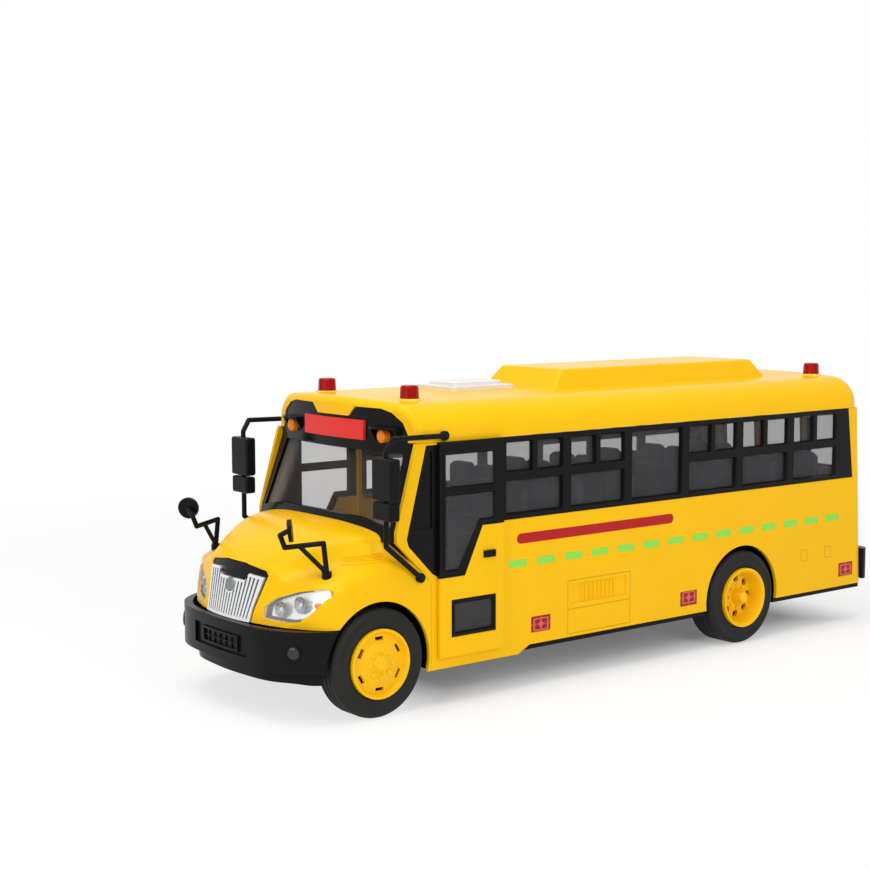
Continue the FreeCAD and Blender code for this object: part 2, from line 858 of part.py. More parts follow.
def header_outline(grow):
    """The header mask seen from the front, with the raised notch in its top edge."""
    half = 44.0 + grow
    top = S.header_top_height.value + grow
    low = S.band_top_height.value + S.seam.value - 1 if grow else S.header_height.value
    foot_half = half if grow else (inner_half - S.seam).value
    foot = S.band_top_height.value
    notch_top, notch_low = 15.0 - grow, 11.0 - grow
    return [
        (-foot_half, low), (-foot_half, foot), (-half, foot), (-half, top - 9.5), (-half + 2.5, top - 5.0), (-half + 8.0, top - 1.4),
        (-half + 14.0, top), (-notch_top, top), (-notch_low, top - 4.0),
        (notch_low, top - 4.0), (notch_top, top), (half - 14.0, top),
        (half - 8.0, top - 1.4), (half - 2.5, top - 5.0), (half, top - 9.5), (half, foot),
        (foot_half, foot), (foot_half, low),
    ]


def make_roof():
    solid = roof_solid(0).cut(roof_solid(S.wall.value))
    front = behind(S.roof_front_behind).value
    window = section_prism(header_outline(S.seam.value), front - 14, front + 5)
    return shaped("roof", solid.cut(window))


def screen_x(height):
    """X of the screen's outer face on the centre plane at a height."""
    base, top = S.screen_base_height.value, S.header_height.value
    share = (height - base) / (top - base)
    low_x = ahead(S.screen_base_ahead).value
    high_x = behind(S.header_behind).value
    return low_x + share * (high_x - low_x)


def screen_slab(thickness, half, back=0.0):
    low, high = S.screen_base_height.value, S.header_height.value
    lean = screen_x(high) - screen_x(low)
    return curved_band(screen_x(low) - back, thickness, half, low, high, lean)


def make_screen_mask():
    """The black header above the screen, with the border that frames the glass."""
    half = (inner_half - S.seam).value
    header = curved_band(behind(S.header_behind).value, S.wall.value, half, S.header_height.value, S.roof_height.value)
    header = header.common(section_prism(header_outline(0), 0, 300))
    frame = screen_slab(S.wall.value, half)
    border = S.mask_border.value
    high = S.header_height.value - 0.8
    middle = S.bonnet_rear_height.value + border
    corner = S.pillar_base_height.value + border - 1.6
    opening = section_prism([
        (-half + border, corner), (-half + border + 3.5, high), (half - border - 3.5, high), (half - border, corner),
        (half - 20, middle - 0.4), (0, middle), (20 - half, middle - 0.4),
    ], 0, 300)
    mask = header.fuse(frame.cut(opening)).removeSplitter().cut(hood_solid(S.seam.value))
    return shaped("screen_mask", sorted(mask.Solids, key=lambda solid: -solid.Volume)[0])


def make_screen_glass():
    half = (inner_half - S.seam).value - 0.6
    back = S.wall.value + S.seam.value
    slab = screen_slab(S.glass_thickness.value, half, back).cut(hood_solid(S.seam.value))
    return shaped("screen_glass", sorted(slab.Solids, key=lambda solid: -solid.Volume)[0])


def make_header_panel():
    """The blank red panel that stands on the header and follows its bow."""
    low = S.header_height.value + 3.3
    panel = curved_band(behind(S.header_behind).value + 1.2, 1.2, S.sign_half_width.value, low,
                        low + S.sign_height.value)
    return shaped("header_panel", panel)


def make_header_lamps():
    """Two round amber lamps with domed lenses on the header."""
    face = behind(S.header_behind).value
    height = S.header_height.value + 5.6
    behind_face = curved_band(face, 20.0, 46.0, height - 10, height + 10)
    lamps = []
    for side, sign in SIDES:
        y = 32.0 * sign
        x = face - bow_sag(y)
        lens = Part.makeCylinder(2.6, 7.0, Vector(x - 4.0, y, height), ALONG)
        dome = Part.makeSphere(4.4, Vector(x - 1.2, y, height))
        lamps.append(lens.common(dome).cut(behind_face))
    return shaped("header_lamps", Part.makeCompound(lamps))


HOOD_STATIONS = (-26.0, -16.0, -6.0, 4.0, 13.0, 21.0, 28.0, 34.0, 41.0)


def plan_half(station, grow):
    """Half width of the nose in plan at a station ahead of the axle."""
    reach = (S.nose_ahead.value + grow - station) / S.nose_curve.value
    return min(S.body_half_width.value + grow, math.sqrt(max(reach, 1.0)))


def hood_section(station, grow):
    """Control points of one cross-section of the bonnet: crown, shoulder, hollow and wing."""
    share = min(max((station + 3) / 37.0, 0.0), 1.25)
    crown = S.bonnet_rear_height.value + grow
    crown -= (S.bonnet_rear_height.value - S.bonnet_front_height.value) * share ** 2.2
    shoulder = 42.5 - 21.0 * share ** 0.95 + grow
    hollow = shoulder + 3.6 + 0.8 * share
    edge = max(plan_half(station, grow), hollow + 2.6)
    hollow_height = 60.0 - 9.0 * share ** 1.8 + grow
    half_points = [
        (0.0, crown + 0.2), (shoulder * 0.5, crown), (shoulder - 2.5, crown - 2.4 + share),
        (shoulder + 0.8, crown - 5.0 + share), (hollow - 0.8, hollow_height + 1.6),
        (hollow + (edge - hollow) * 0.45, hollow_height - 0.6),
        (edge - 0.6, hollow_height - 2.0), (edge, hollow_height - 7.0), (edge, hollow_height - 12.0),
    ]
    x = ahead(station).value
    right = [Vector(x, y, z) for y, z in half_points]
    left = [Vector(x, -y, z) for y, z in reversed(half_points[1:])]
    return left + right


def clamped(count):
    """Knots and their counts for a cubic surface through a row of control points."""
    knots = [float(index) for index in range(count - 2)]
    return knots, [4] + [1] * (count - 4) + [4]


def nose_prism(grow):
    """The space behind the nose: bowed in plan, and leaning back towards the top."""
    half = S.body_half_width.value + 20
    tip = ahead(S.nose_ahead).value + grow
    sag = S.nose_curve.value * half * half
    rear = ahead(-60).value
    low = S.nose_height.value - 5
    height = 60.0
    lean = -S.nose_lean.value * height / 20.4
    shift = S.nose_lean.value * 5 / 20.4
    points = []
    for index in range(9):
        y = half * (index / 4.0 - 1)
        points.append(Vector(tip + shift - S.nose_curve.value * y * y, y, low))
    bow = Part.BSplineCurve()
    bow.interpolate(points)
    back = [points[-1], Vector(rear, half, low), Vector(rear, -half, low), points[0]]
    lines = [Part.makeLine(back[i], back[i + 1]) for i in range(3)]
    face = Part.Face(Part.Wire([bow.toShape()] + lines))
    return face.extrude(Vector(lean, 0, height))


@functools.lru_cache(maxsize=None)
def hood_solid(grow):
    """The bonnet and both wings as one form, grown or shrunk for gaps, walls and lamps."""
    poles = [hood_section(station, grow) for station in HOOD_STATIONS]
    if grow < 0:
        poles = [hood_section(HOOD_STATIONS[0] - 5, grow)] + poles[1:]
    long_knots, long_counts = clamped(len(poles))
    cross_knots, cross_counts = clamped(len(poles[0]))
    skin = Part.BSplineSurface()
    skin.buildFromPolesMultsKnots(
        poles, long_counts, cross_counts, long_knots, cross_knots, False, False, 3, 3)
    form = skin.toShape().extrude(Vector(0, 0, -60))
    low = S.nose_height.value - (1.0 if grow < 0 else 0.0)
    x = front_axle.value
    form = form.cut(block(x - 60, x + 80, -80, 80, low - 80, low))
    return form.common(nose_prism(grow))


def grille_outline(grow):
    """The grille seen from the front."""
    top, low = S.bonnet_front_height.value, S.nose_height.value
    top_half, low_half = S.grille_top_half.value + grow, S.grille_bottom_half.value + grow
    return [(-low_half, low - 1 if grow > 0 else low), (low_half, low - 1 if grow > 0 else low),
            (low_half + 0.6, low + 5), (top_half, top - 2.6 + grow), (top_half - 1.6, top - 1.0 + grow),
            (7, top + 0.6 + grow), (-7, top + 0.6 + grow),
            (-top_half + 1.6, top - 1.0 + grow), (-top_half, top - 2.6 + grow), (-low_half - 0.6, low + 5)]


LAMP_START = 20.0


def lamp_outline(sign, grow):
    """A headlamp seen from the front: a leaf with its tip up and outwards."""
    points = [(21.8, 39.3), (21.9, 43.6), (26.0, 46.9), (35.0, 50.2), (44.5, 52.2), (47.6, 51.6),
              (47.9, 50.0), (41.8, 42.8), (38.0, 39.6), (33.0, 38.9)]
    middle_y, middle_z = 34.0, 45.0
    grown = []
    for y, z in points:
        length = math.hypot(y - middle_y, z - middle_z)
        scale = 1 + grow / length
        grown.append((sign * (middle_y + (y - middle_y) * scale), middle_z + (z - middle_z) * scale))
    return grown


def arch_cylinder(axle):
    """The round space that the wheel arches of one axle leave open, right across the bus."""
    reach = S.body_half_width.value + 10
    start = Vector(axle.value, -reach, S.tyre_radius.value)
    return Part.makeCylinder(S.arch_radius.value, 2 * reach, start, ACROSS)


def make_bonnet():
    """The moulded bonnet with both wings, open below, at the grille, lamps and wheel arches."""
    wall, seam = S.wall.value, S.seam.value
    shell = hood_solid(0).cut(hood_solid(-wall))
    half = S.body_half_width.value + 5
    line = [(x.value, z.value if isinstance(z, Size) else z) for x, z in seam_line(0)]
    rear = ahead(-60).value
    line[0] = (line[0][0], 0.0)
    body_side = [(rear, 0.0)] + line + [(line[-1][0], 130.0), (rear, 130.0)]
    shell = shell.cut(side_prism(body_side, -half, half))
    low_wing = side_prism([
        (behind(S.seam_behind).value, S.front_skirt_height.value),
        (behind(S.seam_behind).value, 45.0),
        (ahead(5).value, 45.0),
        (ahead(5).value, S.front_skirt_height.value),
    ], -S.body_half_width.value, S.body_half_width.value)
    inner = side_prism([
        (behind(S.seam_behind).value - 1, 0.0), (behind(S.seam_behind).value - 1, 46.0),
        (ahead(6).value, 46.0), (ahead(6).value, 0.0),
    ], -inner_half.value, inner_half.value)
    shell = shell.fuse(low_wing.cut(inner))
    shell = shell.cut(arch_cylinder(front_axle))
    front = ahead(15).value
    shell = shell.cut(section_prism(grille_outline(seam), front, front + 40))
    lamp_start = ahead(LAMP_START).value
    for side, sign in SIDES:
        shell = shell.cut(section_prism(lamp_outline(sign, seam), lamp_start, front + 40))
    solids = sorted(shell.Solids, key=lambda solid: -solid.Volume)
    return shaped("bonnet", solids[0])


def make_headlamp(side, sign):
    """A clear headlamp that follows the curve of the wing."""
    wall = S.wall.value
    front = ahead(LAMP_START + 0.3).value
    skin = hood_solid(0.3).cut(hood_solid(-wall))
    lamp = skin.common(section_prism(lamp_outline(sign, 0), front, front + 40))
    solids = sorted(lamp.Solids, key=lambda solid: -solid.Volume)
    return shaped("headlamp_" + side, solids[0])


def make_grille_surround():
    """The black backing plate, which shows above and between the bars."""
    front = ahead(15).value
    skin = hood_solid(-0.5).cut(hood_solid(-S.wall.value - 0.4))
    plate = skin.common(section_prism(grille_outline(0), front, front + 40))
    solids = sorted(plate.Solids, key=lambda solid: -solid.Volume)
    return shaped("grille_surround", solids[0])


def make_grille():
    """Upright bars joined by a rim that steps down in the middle of its top edge."""
    skin = hood_solid(0.6).cut(hood_solid(-0.5 + S.seam.value * 0.5))
    low, top = S.nose_height.value, S.bonnet_front_height.value - 3.4
    low_half, top_half = S.grille_bottom_half.value - 0.3, S.grille_top_half.value - 1.2

    def outline(inset):
        return [(-low_half + inset, low + inset), (low_half - inset, low + inset), (low_half + 0.4 - inset, low + 5),
                (top_half - inset, top - inset), (11 - inset, top + 0.6 - inset), (9 - inset, top - 2.2 - inset),
                (-9 + inset, top - 2.2 - inset), (-11 + inset, top + 0.6 - inset), (-top_half + inset, top - inset),
                (-low_half - 0.4 + inset, low + 5)]
    front = ahead(15).value
    whole = skin.common(section_prism(outline(0), front, front + 40))
    window = section_prism(outline(1.0), front - 5, front + 45)
    count = int(S.grille_bars.value)
    width = S.grille_bar_width.value
    bars = []
    for index in range(count):
        share = index / (count - 1) * 2 - 1
        foot = share * (low_half - 1.2)
        head = share * (top_half - 1.2)
        bars.append(section_prism([
            (foot - width / 2, low), (foot + width / 2, low), (head + width / 2, top + 2), (head - width / 2, top + 2),
        ], front - 5, front + 45))
    gaps = window.cut(Part.makeCompound(bars))
    badge_z = low + 12.5
    badge = section_prism([
        (3.4 * math.cos(k * math.pi / 12), badge_z + 3.4 * math.sin(k * math.pi / 12)) for k in range(24)
    ], front - 5, front + 45)
    solids = sorted(whole.cut(gaps.cut(badge)).Solids, key=lambda solid: -solid.Volume)
    return shaped("grille", solids[0])


def bumper_form(grow, low, high):
    """A prism of the front bumper's plan, bowed like the nose and swept back to the wheel arches."""
    half = S.body_half_width.value - 0.2 + grow
    tip = ahead(S.front_overhang).value + grow
    end = ahead(S.bumper_end_ahead).value - (1.0 if grow < 0 else 0.0)
    front_points = [(end + 3.5, half), (end + 9.5, half - 3.4), (tip - 8.6, half - 8.4), (tip - 3.8, half - 16.6),
                    (tip - 0.9, half - 30)]
    right = [Vector(x, y, low) for x, y in front_points]
    left = [Vector(x, -y, low) for x, y in reversed(front_points)]
    bow = Part.BSplineCurve()
    bow.interpolate(right + [Vector(tip, 0, low)] + left)
    back = [left[-1], Vector(end, -half, low), Vector(end, half, low), right[0]]
    lines = [Part.makeLine(back[i], back[i + 1]) for i in range(3)]
    return Part.Face(Part.Wire([bow.toShape()] + lines)).extrude(Vector(0, 0, high - low))


def make_front_bumper():
    """A wrapped bumper with an air intake behind bars and two recessed fog lamp seats."""
    low, high = S.bumper_bottom_height.value, (S.nose_height - S.seam).value
    outer = bumper_form(0, low, high)
    form = outer.cut(bumper_form(-S.bumper_wall.value, low - 1, high + 1))
    tip = ahead(S.front_overhang).value
    half, mouth_low, mouth_high = 19.5, low + 3.6, high - 4.0
    mouth = block(tip - 12, tip + 5, -half, half, mouth_low, mouth_high)
    bars = [block(tip - 12, tip + 5, -half, half, height, height + 0.7)
            for height in (mouth_low + 2.0, mouth_low + 4.2, mouth_low + 6.4)]
    bars += [block(tip - 12, tip + 5, y - 0.5, y + 0.5, mouth_low, mouth_high) for y in (-13.0, 13.0)]
    recess = outer.cut(bumper_form(-1.1, low - 1, high + 1)).common(mouth)
    keep = Part.makeCompound(bars).common(bumper_form(-0.5, low - 1, high + 1))
    form = form.cut(recess.cut(keep))
    form = form.cut(arch_cylinder(front_axle))
    return shaped("front_bumper", sorted(form.Solids, key=lambda solid: -solid.Volume)[0])


def make_rear_bumper():
    """A bumper bar that wraps round both rear corners."""
    low, high = S.rear_bumper_bottom.value, S.rear_bumper_top.value
    rear = behind(S.wheelbase + S.rear_overhang).value
    half = S.body_half_width.value + 1.2
    bar = block(rear, rear + S.rear_bumper_wrap.value, -half, half, low, high)
    corners = [edge for edge in bar.Edges if edge.Length > high - low - 0.1 and edge.CenterOfMass.x < rear + 0.1
               and edge.BoundBox.ZLength > 5]
    bar = bar.makeFillet(S.corner_round.value * 0.8, corners)
    gap = S.seam.value
    x_low, x_high = rear_edge(S.rear_bumper_bottom - 5, -gap).value, rear_edge(S.rear_bumper_top + 5, -gap).value
    body = side_prism([(x_low, low - 5), (x_high, high + 5), (x_high + 40, high + 5), (x_low + 40, low - 5)],
                      -S.body_half_width.value - gap, S.body_half_width.value + gap)
    edges = [edge for edge in body.Edges if edge.CenterOfMass.x < x_high + 1 and edge.BoundBox.YLength < 1]
    body = body.makeFillet(S.corner_round.value, edges)
    return shaped("rear_bumper", bar.cut(body))


def make_roof_pod():
    """The long raised pod: sloping ends and sides, a raised rim line and a cross seam."""
    top = S.roof_height.value + S.pod_height.value
    low = S.roof_height.value - 4.0
    rear, front = behind(S.pod_rear_behind).value, behind(S.pod_front_behind).value
    half = S.pod_half_width.value

    def form(inset, lift):
        along = side_prism([
            (rear + inset, low), (front - inset, low), (front - inset - 9.5, top + lift), (rear + inset + 9.5, top + lift),
        ], -half, half)
        across = section_prism([
            (-half + inset, low), (half - inset, low), (half - inset - 5.0, top + lift), (-half + inset + 5.0, top + lift),
        ], rear - 1, front + 1)
        return along.common(across)
    pod = form(0, 0)
    rounded = [edge for edge in pod.Edges if edge.CenterOfMass.z > low + 0.5]
    pod = pod.makeFillet(1.6, rounded)
    middle = (rear + front) / 2
    seam = block(middle - 0.4, middle + 0.4, -half, half, top - 0.5, top + 1)
    pod = pod.cut(seam)
    return shaped("roof_pod", pod.cut(roof_solid(0)))


def make_hatch():
    """The white roof hatch: a wide plate with a smaller raised lid."""
    top = S.roof_height.value + 1.6
    middle = behind(S.hatch_middle_behind).value
    length, width = S.hatch_length.value / 2, S.hatch_width.value / 2
    plate = block(middle - length, middle + length, -width, width, top - 4, top)
    lid = block(middle - length + 4, middle + length - 4, 4 - width, width - 4, top - 1, top + 1.7)
    hatch = plate.fuse(lid)
    corners = [edge for edge in hatch.Edges if abs(edge.tangentAt(edge.FirstParameter).z) > 0.99]
    hatch = hatch.makeFillet(1.6, corners)
    rims = [edge for edge in hatch.Edges if abs(edge.CenterOfMass.z - top - 1.7) < 0.01]
    return shaped("roof_hatch", hatch.makeFillet(0.5, rims).cut(roof_solid(0)))


def make_beacons():
    """Four red beacons, each a tapered cup with a rounded top."""
    low = S.roof_height.value - 3.0
    rise = 3.0 + S.beacon_height.value - 1.4
    roof = roof_solid(0)
    cups = []
    for distance in (S.front_beacon_behind, S.rear_beacon_behind):
        for side, sign in SIDES:
            x, y = behind(distance).value, S.beacon_half_spread.value * sign
            radius = S.beacon_radius.value
            cup = Part.makeCone(radius, radius - 0.4, rise, Vector(x, y, low))
            top = [edge for edge in cup.Edges if edge.BoundBox.ZMin > low + rise - 0.1]
            cups.append(cup.makeFillet(1.0, top).cut(roof))
    return shaped("beacons", Part.makeCompound(cups))


def tube(points, radius):
    """A round bar along straight runs, with a ball at each bend and end."""
    pieces = []
    for start, end in zip(points, points[1:]):
        run = end - start
        pieces.append(Part.makeCylinder(radius, run.Length, start, run))
    for point in points:
        pieces.append(Part.makeSphere(radius, point))
    return pieces[0].multiFuse(pieces[1:])


def mirrored(point, sign):
    return Vector(point[0], point[1] * sign, point[2])


def make_side_mirror(side, sign):
    """A tall two-part mirror on an arm from the roof edge down to the wing."""
    half = S.body_half_width.value
    x = front_axle.value
    foot = mirrored((x - 31.0, half + 1.3, 107.2), sign)
    bend = mirrored((x - 5.0, half + 2.6, 107.6), sign)
    drop = mirrored((x - 1.8, half + 2.0, 103.0), sign)
    low = mirrored((x - 1.8, half + 2.0, 66.6), sign)
    wing = mirrored((x - 19.0, half + 1.3, 52.6), sign)
    arm = tube([foot, bend, drop, low, wing], 1.05)
    gap = S.seam.value
    for end in (foot, wing):
        arm = arm.fuse(Part.makeCylinder(1.9, 1.4, Vector(end.x, (half + gap) * sign, end.z), ACROSS * sign))
    for z_low, z_high, near, far in ((84.4, 100.6, -6.4, 6.4), (76.8, 83.9, -6.0, 6.0)):
        y_low, y_high = sorted(((half + 2.0 + near) * sign, (half + 2.0 + far) * sign))
        head = block(x - 4.2, x + 0.6, y_low, y_high, z_low, z_high)
        arm = arm.fuse(head.makeFillet(1.0, head.Edges))
    return shaped("side_mirror_" + side, arm.removeSplitter())


def skin_height(form, x, y):
    """Height of a form's upper skin above a point of the floor."""
    line = Part.makeLine(Vector(x, y, 20), Vector(x, y, 140)).common(form)
    return max(vertex.Z for vertex in line.Vertexes)


def make_bonnet_mirror(side, sign):
    """A round convex mirror on a braced arm that stands on the wing."""
    x = front_axle.value
    skin = hood_solid(0.1)
    foot_x, foot_y = x + 18.5, 41.0 * sign
    top = skin_height(skin, foot_x, foot_y)
    foot = Vector(foot_x, foot_y, top + 1.4)
    knee = mirrored((x + 18.5, 39.0, 68.6), sign)
    elbow = mirrored((x + 32.0, 33.0, 67.6), sign)
    neck = mirrored((x + 34.0, 33.0, 72.5), sign)
    disc = mirrored((x + 33.4, 37.6, 74.6), sign)
    arm = tube([foot, knee, elbow, neck, disc], 1.0)
    brace = tube([foot, mirrored((x + 27.0, 35.4, 67.9), sign)], 0.9)
    pedestal = Part.makeCylinder(1.9, 4.0, Vector(foot_x, foot_y, top - 2.0), UP)
    facing = Vector(-0.75, 0.55 * sign, 0.1)
    plate = Part.makeCylinder(4.3, 1.6, disc, facing)
    mirror = arm.multiFuse([brace, plate, pedestal]).cut(skin)
    return shaped("bonnet_mirror_" + side, mirror.removeSplitter())


WELL_SKIN = 1.5


def make_dashboard():
    """The dashboard ledge with the steering wheel on its column."""
    half = (inner_half - S.seam * 2).value
    ledge_x = ahead(S.screen_base_ahead).value - 14.5
    low = S.tyre_radius.value + S.arch_radius.value + WELL_SKIN + S.seam.value
    ledge = side_prism([
        (ledge_x, 65.5), (ledge_x, 69.5), (ledge_x - 7, 71.2), (ledge_x - 10, 66.0), (ledge_x - 9, 62.0),
        (ledge_x - 4, 62.0),
    ], -half, half)
    console = side_prism([
        (ledge_x, low), (ledge_x, 66.0), (ledge_x - 9, 66.0), (ledge_x - 7, low),
    ], -half + 6.0, half - 6.0)
    body = ledge.fuse(console)
    y = 19.0
    tilt = Vector(-0.75, 0, 0.66)
    column = Part.makeCylinder(0.9, 12.0, Vector(ledge_x - 4.0, y, 67.0), tilt)
    centre = Vector(ledge_x - 4.0, y, 67.0) + tilt.normalize() * 11.5
    rim = Part.makeTorus(5.2, 0.8, centre, tilt)
    spoke = Part.makeCylinder(0.6, 10.2, centre + Vector(0, -5.1, 0), ACROSS)
    return shaped("dashboard", body.multiFuse([column, rim, spoke]))


def make_seat_deck():
    """The cabin floor with its rows of benches."""
    body = new_body("seat_deck")
    low, top = S.deck_height, S.deck_height + S.deck_thickness
    half = inner_half - S.seam
    rear = rear_edge(S.deck_height, S.wall) + 1.2
    front = behind(S.door_rear_behind) - 1.6
    pad(body, "XY", (low, top), rectangle(rear, front, -half, half))
    round_edges(body, S.corner_round - S.wall, UP, lambda middle: middle.x < rear.value + 1)
    first = front - 6
    seats = []
    for low_y, high_y in ((-44.0, -10.0), (10.0, 44.0)):
        seats.append(rectangle(low_y, high_y, top, top + 11))
    cushion = pad(body, "YZ", (first - S.seat_length, first), *seats)
    repeat_line(body, cushion, "X_Axis", S.seat_pitch * (S.seat_rows - 1), S.seat_rows).Reversed = True
    doc.recompute()
    backs = []
    for low_y, high_y in ((-43.0, -28.0), (-26.0, -11.0), (11.0, 26.0), (28.0, 43.0)):
        backs.append([(low_y, top + 11), (high_y, top + 11), (high_y, top + S.seat_back_height - 2),
                      (high_y - 3, top + S.seat_back_height), (low_y + 3, top + S.seat_back_height),
                      (low_y, top + S.seat_back_height - 2)])
    back = pad(body, "YZ", (first - S.seat_length, first - S.seat_length + 3.4), *backs)
    repeat_line(body, back, "X_Axis", S.seat_pitch * (S.seat_rows - 1), S.seat_rows).Reversed = True
    doc.recompute()
    return body


def make_base():
    """The black base plate with wheel wells, axle carriers and screw holes."""
    low, thick = S.base_bottom.value, S.base_thickness.value
    half = (inner_half - S.seam).value
    rear = (rear_edge(S.skirt_height, S.wall) + S.seam).value + 0.6
    front = ahead(S.bumper_end_ahead).value
    skin = WELL_SKIN
    body = block(rear, front, -half, half, low, low + thick)
    body = body.fuse(bumper_form(-4.0, low, S.bumper_bottom_height.value - S.seam.value))
    radius = S.arch_radius.value
    height = S.tyre_radius.value
    depth = S.well_depth.value
    for axle, shy in ((front_axle.value, 3.6), (rear_axle.value, 0.0)):
        for side, sign in SIDES:
            start = Vector(axle, (half - depth - skin) * sign, height)
            drum = Part.makeCylinder(radius + skin, depth + skin - shy, start, ACROSS * sign)
            body = body.fuse(drum)
    for axle in (front_axle.value, rear_axle.value):
        for side, sign in SIDES:
            inner_y = (half - depth) * sign
            well = Part.makeCylinder(radius, depth + 5, Vector(axle, inner_y, height), ACROSS * sign)
            body = body.cut(well)
    body = body.cut(block(rear - 30, front + 60, -half - 5, half + 5, low - 60, low))
    carrier_half = half - depth - skin
    for axle in (front_axle.value, rear_axle.value):
        for side, sign in SIDES:
            y_low, y_high = sorted(((carrier_half - 3.5) * sign, (carrier_half + 0.2) * sign))
            body = body.fuse(block(axle - 4, axle + 4, y_low, y_high, low + thick - 0.2, height + 4))
        bore = Part.makeCylinder(S.axle_radius.value + S.axle_gap.value, 2 * half + 10, Vector(axle, -half - 5, height), ACROSS)
        body = body.cut(bore)
    hole = S.screw_hole_radius.value
    for x_sign in (-1, 1):
        for y_sign in (-1, 1):
            x = S.screw_spread_x.value / 2 * x_sign + SCREW_MIDDLE
            y = S.screw_spread_y.value / 2 * y_sign
            body = body.fuse(Part.makeCylinder(3.2, 9.0, Vector(x, y, low), UP))
            body = body.cut(Part.makeCylinder(hole, 12.0, Vector(x, y, low - 1), UP))
    return shaped("base_plate", body.removeSplitter())


SCREW_MIDDLE = 5.0


def make_friction_drive():
    """The flywheel drive, a plain closed block round the rear axle."""
    x, height = rear_axle.value, S.tyre_radius.value
    low = S.base_bottom.value + S.base_thickness.value + S.seam.value
    box = block(x - 12, x + 20, -14, 14, low, height + 14)
    bore = Part.makeCylinder(S.axle_radius.value + S.axle_gap.value, 60, Vector(x, -30, height), ACROSS)
    return shaped("friction_drive", box.cut(bore))


def rear_slab(outer, thickness, loops_grow):
    """A leaning slab in the rear wall, cut to the panes' outlines."""
    low, high = S.skirt_height.value, S.band_top_height.value
    x_low = rear_edge(S.skirt_height, outer).value
    x_high = rear_edge(S.band_top_height, outer).value
    slab = side_prism([(x_low, low), (x_high, high), (x_high + thickness, high), (x_low + thickness, low)], -60, 60)
    panes = []
    for y_low, y_high in REAR_PANES:
        panes.append(block(x_low - 20, x_high + 20, y_low - loops_grow, y_high + loops_grow,
                           (S.belt_height + 4).value - loops_grow, (S.band_top_height - 5).value + loops_grow))
    return slab.common(Part.makeCompound(panes))


def make_rear_window_frame():
    outer = rear_slab(0, S.wall.value, 1.6 - S.seam.value)
    inner = rear_slab(-5, 20, 0.0)
    return shaped("rear_window_frame", outer.cut(inner))


def make_rear_glass():
    return shaped("rear_glass", rear_slab(0.4, 0.9, -S.seam.value))


def make_tail_lamps():
    lamps = []
    lean = S.rear_wall_lean.value / (S.band_top_height - S.skirt_height).value
    for side, sign in SIDES:
        for y, z, radius in ((37.0, 61.0, 3.6), (28.0, 61.0, 3.0), (37.0, 47.0, 2.6)):
            x = rear_edge(S.skirt_height, 0).value + (z - S.skirt_height.value) * lean
            lamps.append(Part.makeCylinder(radius, 1.4, Vector(x - 0.15, y * sign, z), Vector(-1, 0, lean)))
    return shaped("tail_lamps", Part.makeCompound(lamps))


def run_checks():
    problems = []
    for item in doc.Objects:
        if "Invalid" in item.State or "Error" in item.State:
            problems.append("%s: %s" % (item.Label, item.State))
    return problems


def export(parts):
    doc.recompute()
    problems = run_checks()
    for part in parts:
        if part.Shape.isNull() or not part.Shape.isValid():
            problems.append("%s: bad shape" % part.Label)
    if problems:
        raise RuntimeError("; ".join(problems))
    os.makedirs("parts", exist_ok=True)
    for part in parts:
        part.Shape.exportStep("parts/%s.step" % part.Label)
        box = part.Shape.BoundBox
        print("%-22s solids %d volume %8.1f x %.1f..%.1f y %.1f..%.1f z %.1f..%.1f" % (
            part.Label, len(part.Shape.Solids), part.Shape.Volume,
            box.XMin, box.XMax, box.YMin, box.YMax, box.ZMin, box.ZMax))


def main():
    parts = [make_body_shell(), make_roof(), make_bonnet(), make_base(), make_friction_drive()]
    parts += [make_front_bumper(), make_rear_bumper(), make_grille_surround(), make_grille()]
    parts += [make_screen_mask(), make_screen_glass(), make_header_panel(), make_header_lamps()]
    parts += [make_roof_pod(), make_hatch(), make_beacons(), make_reflectors(), make_tail_lamps()]
    parts += [make_rear_window_frame(), make_rear_glass(), make_dashboard(), make_seat_deck()]
    for side, sign in SIDES:
        parts.append(make_headlamp(side, sign))
        parts.append(make_side_mirror(side, sign))
        parts.append(make_bonnet_mirror(side, sign))
        parts.append(make_window_band(side, sign))
        parts.append(make_window_glass(side, sign))
        parts.append(make_quarter_window(side, sign))
        parts.append(make_door_panel(side, sign))
        parts.append(make_door_frame(side, sign))
        parts.append(make_door_glass(side, sign))
        parts.append(make_tyre("front_tyre_" + side, front_axle, S.front_tyre_outer, S.front_tyre_width, sign))
        parts.append(make_tyre("rear_tyre_" + side, rear_axle, S.rear_tyre_outer, S.rear_tyre_width, sign))
        parts.append(make_front_rim(side, sign))
        parts.append(make_rear_rim(side, sign))
    parts.append(make_axle("front_axle", front_axle, S.front_tyre_outer))
    parts.append(make_axle("rear_axle", rear_axle, S.rear_tyre_outer))
    export(parts)


main()
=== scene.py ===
"""Finishes, small trim and studio for a plastic push-along toy school bus."""
import functools
import math

import bmesh
import bpy
from bpy.props import FloatProperty, FloatVectorProperty, IntProperty, PointerProperty
from mathutils import Matrix, Vector
from mathutils.bvhtree import BVHTree


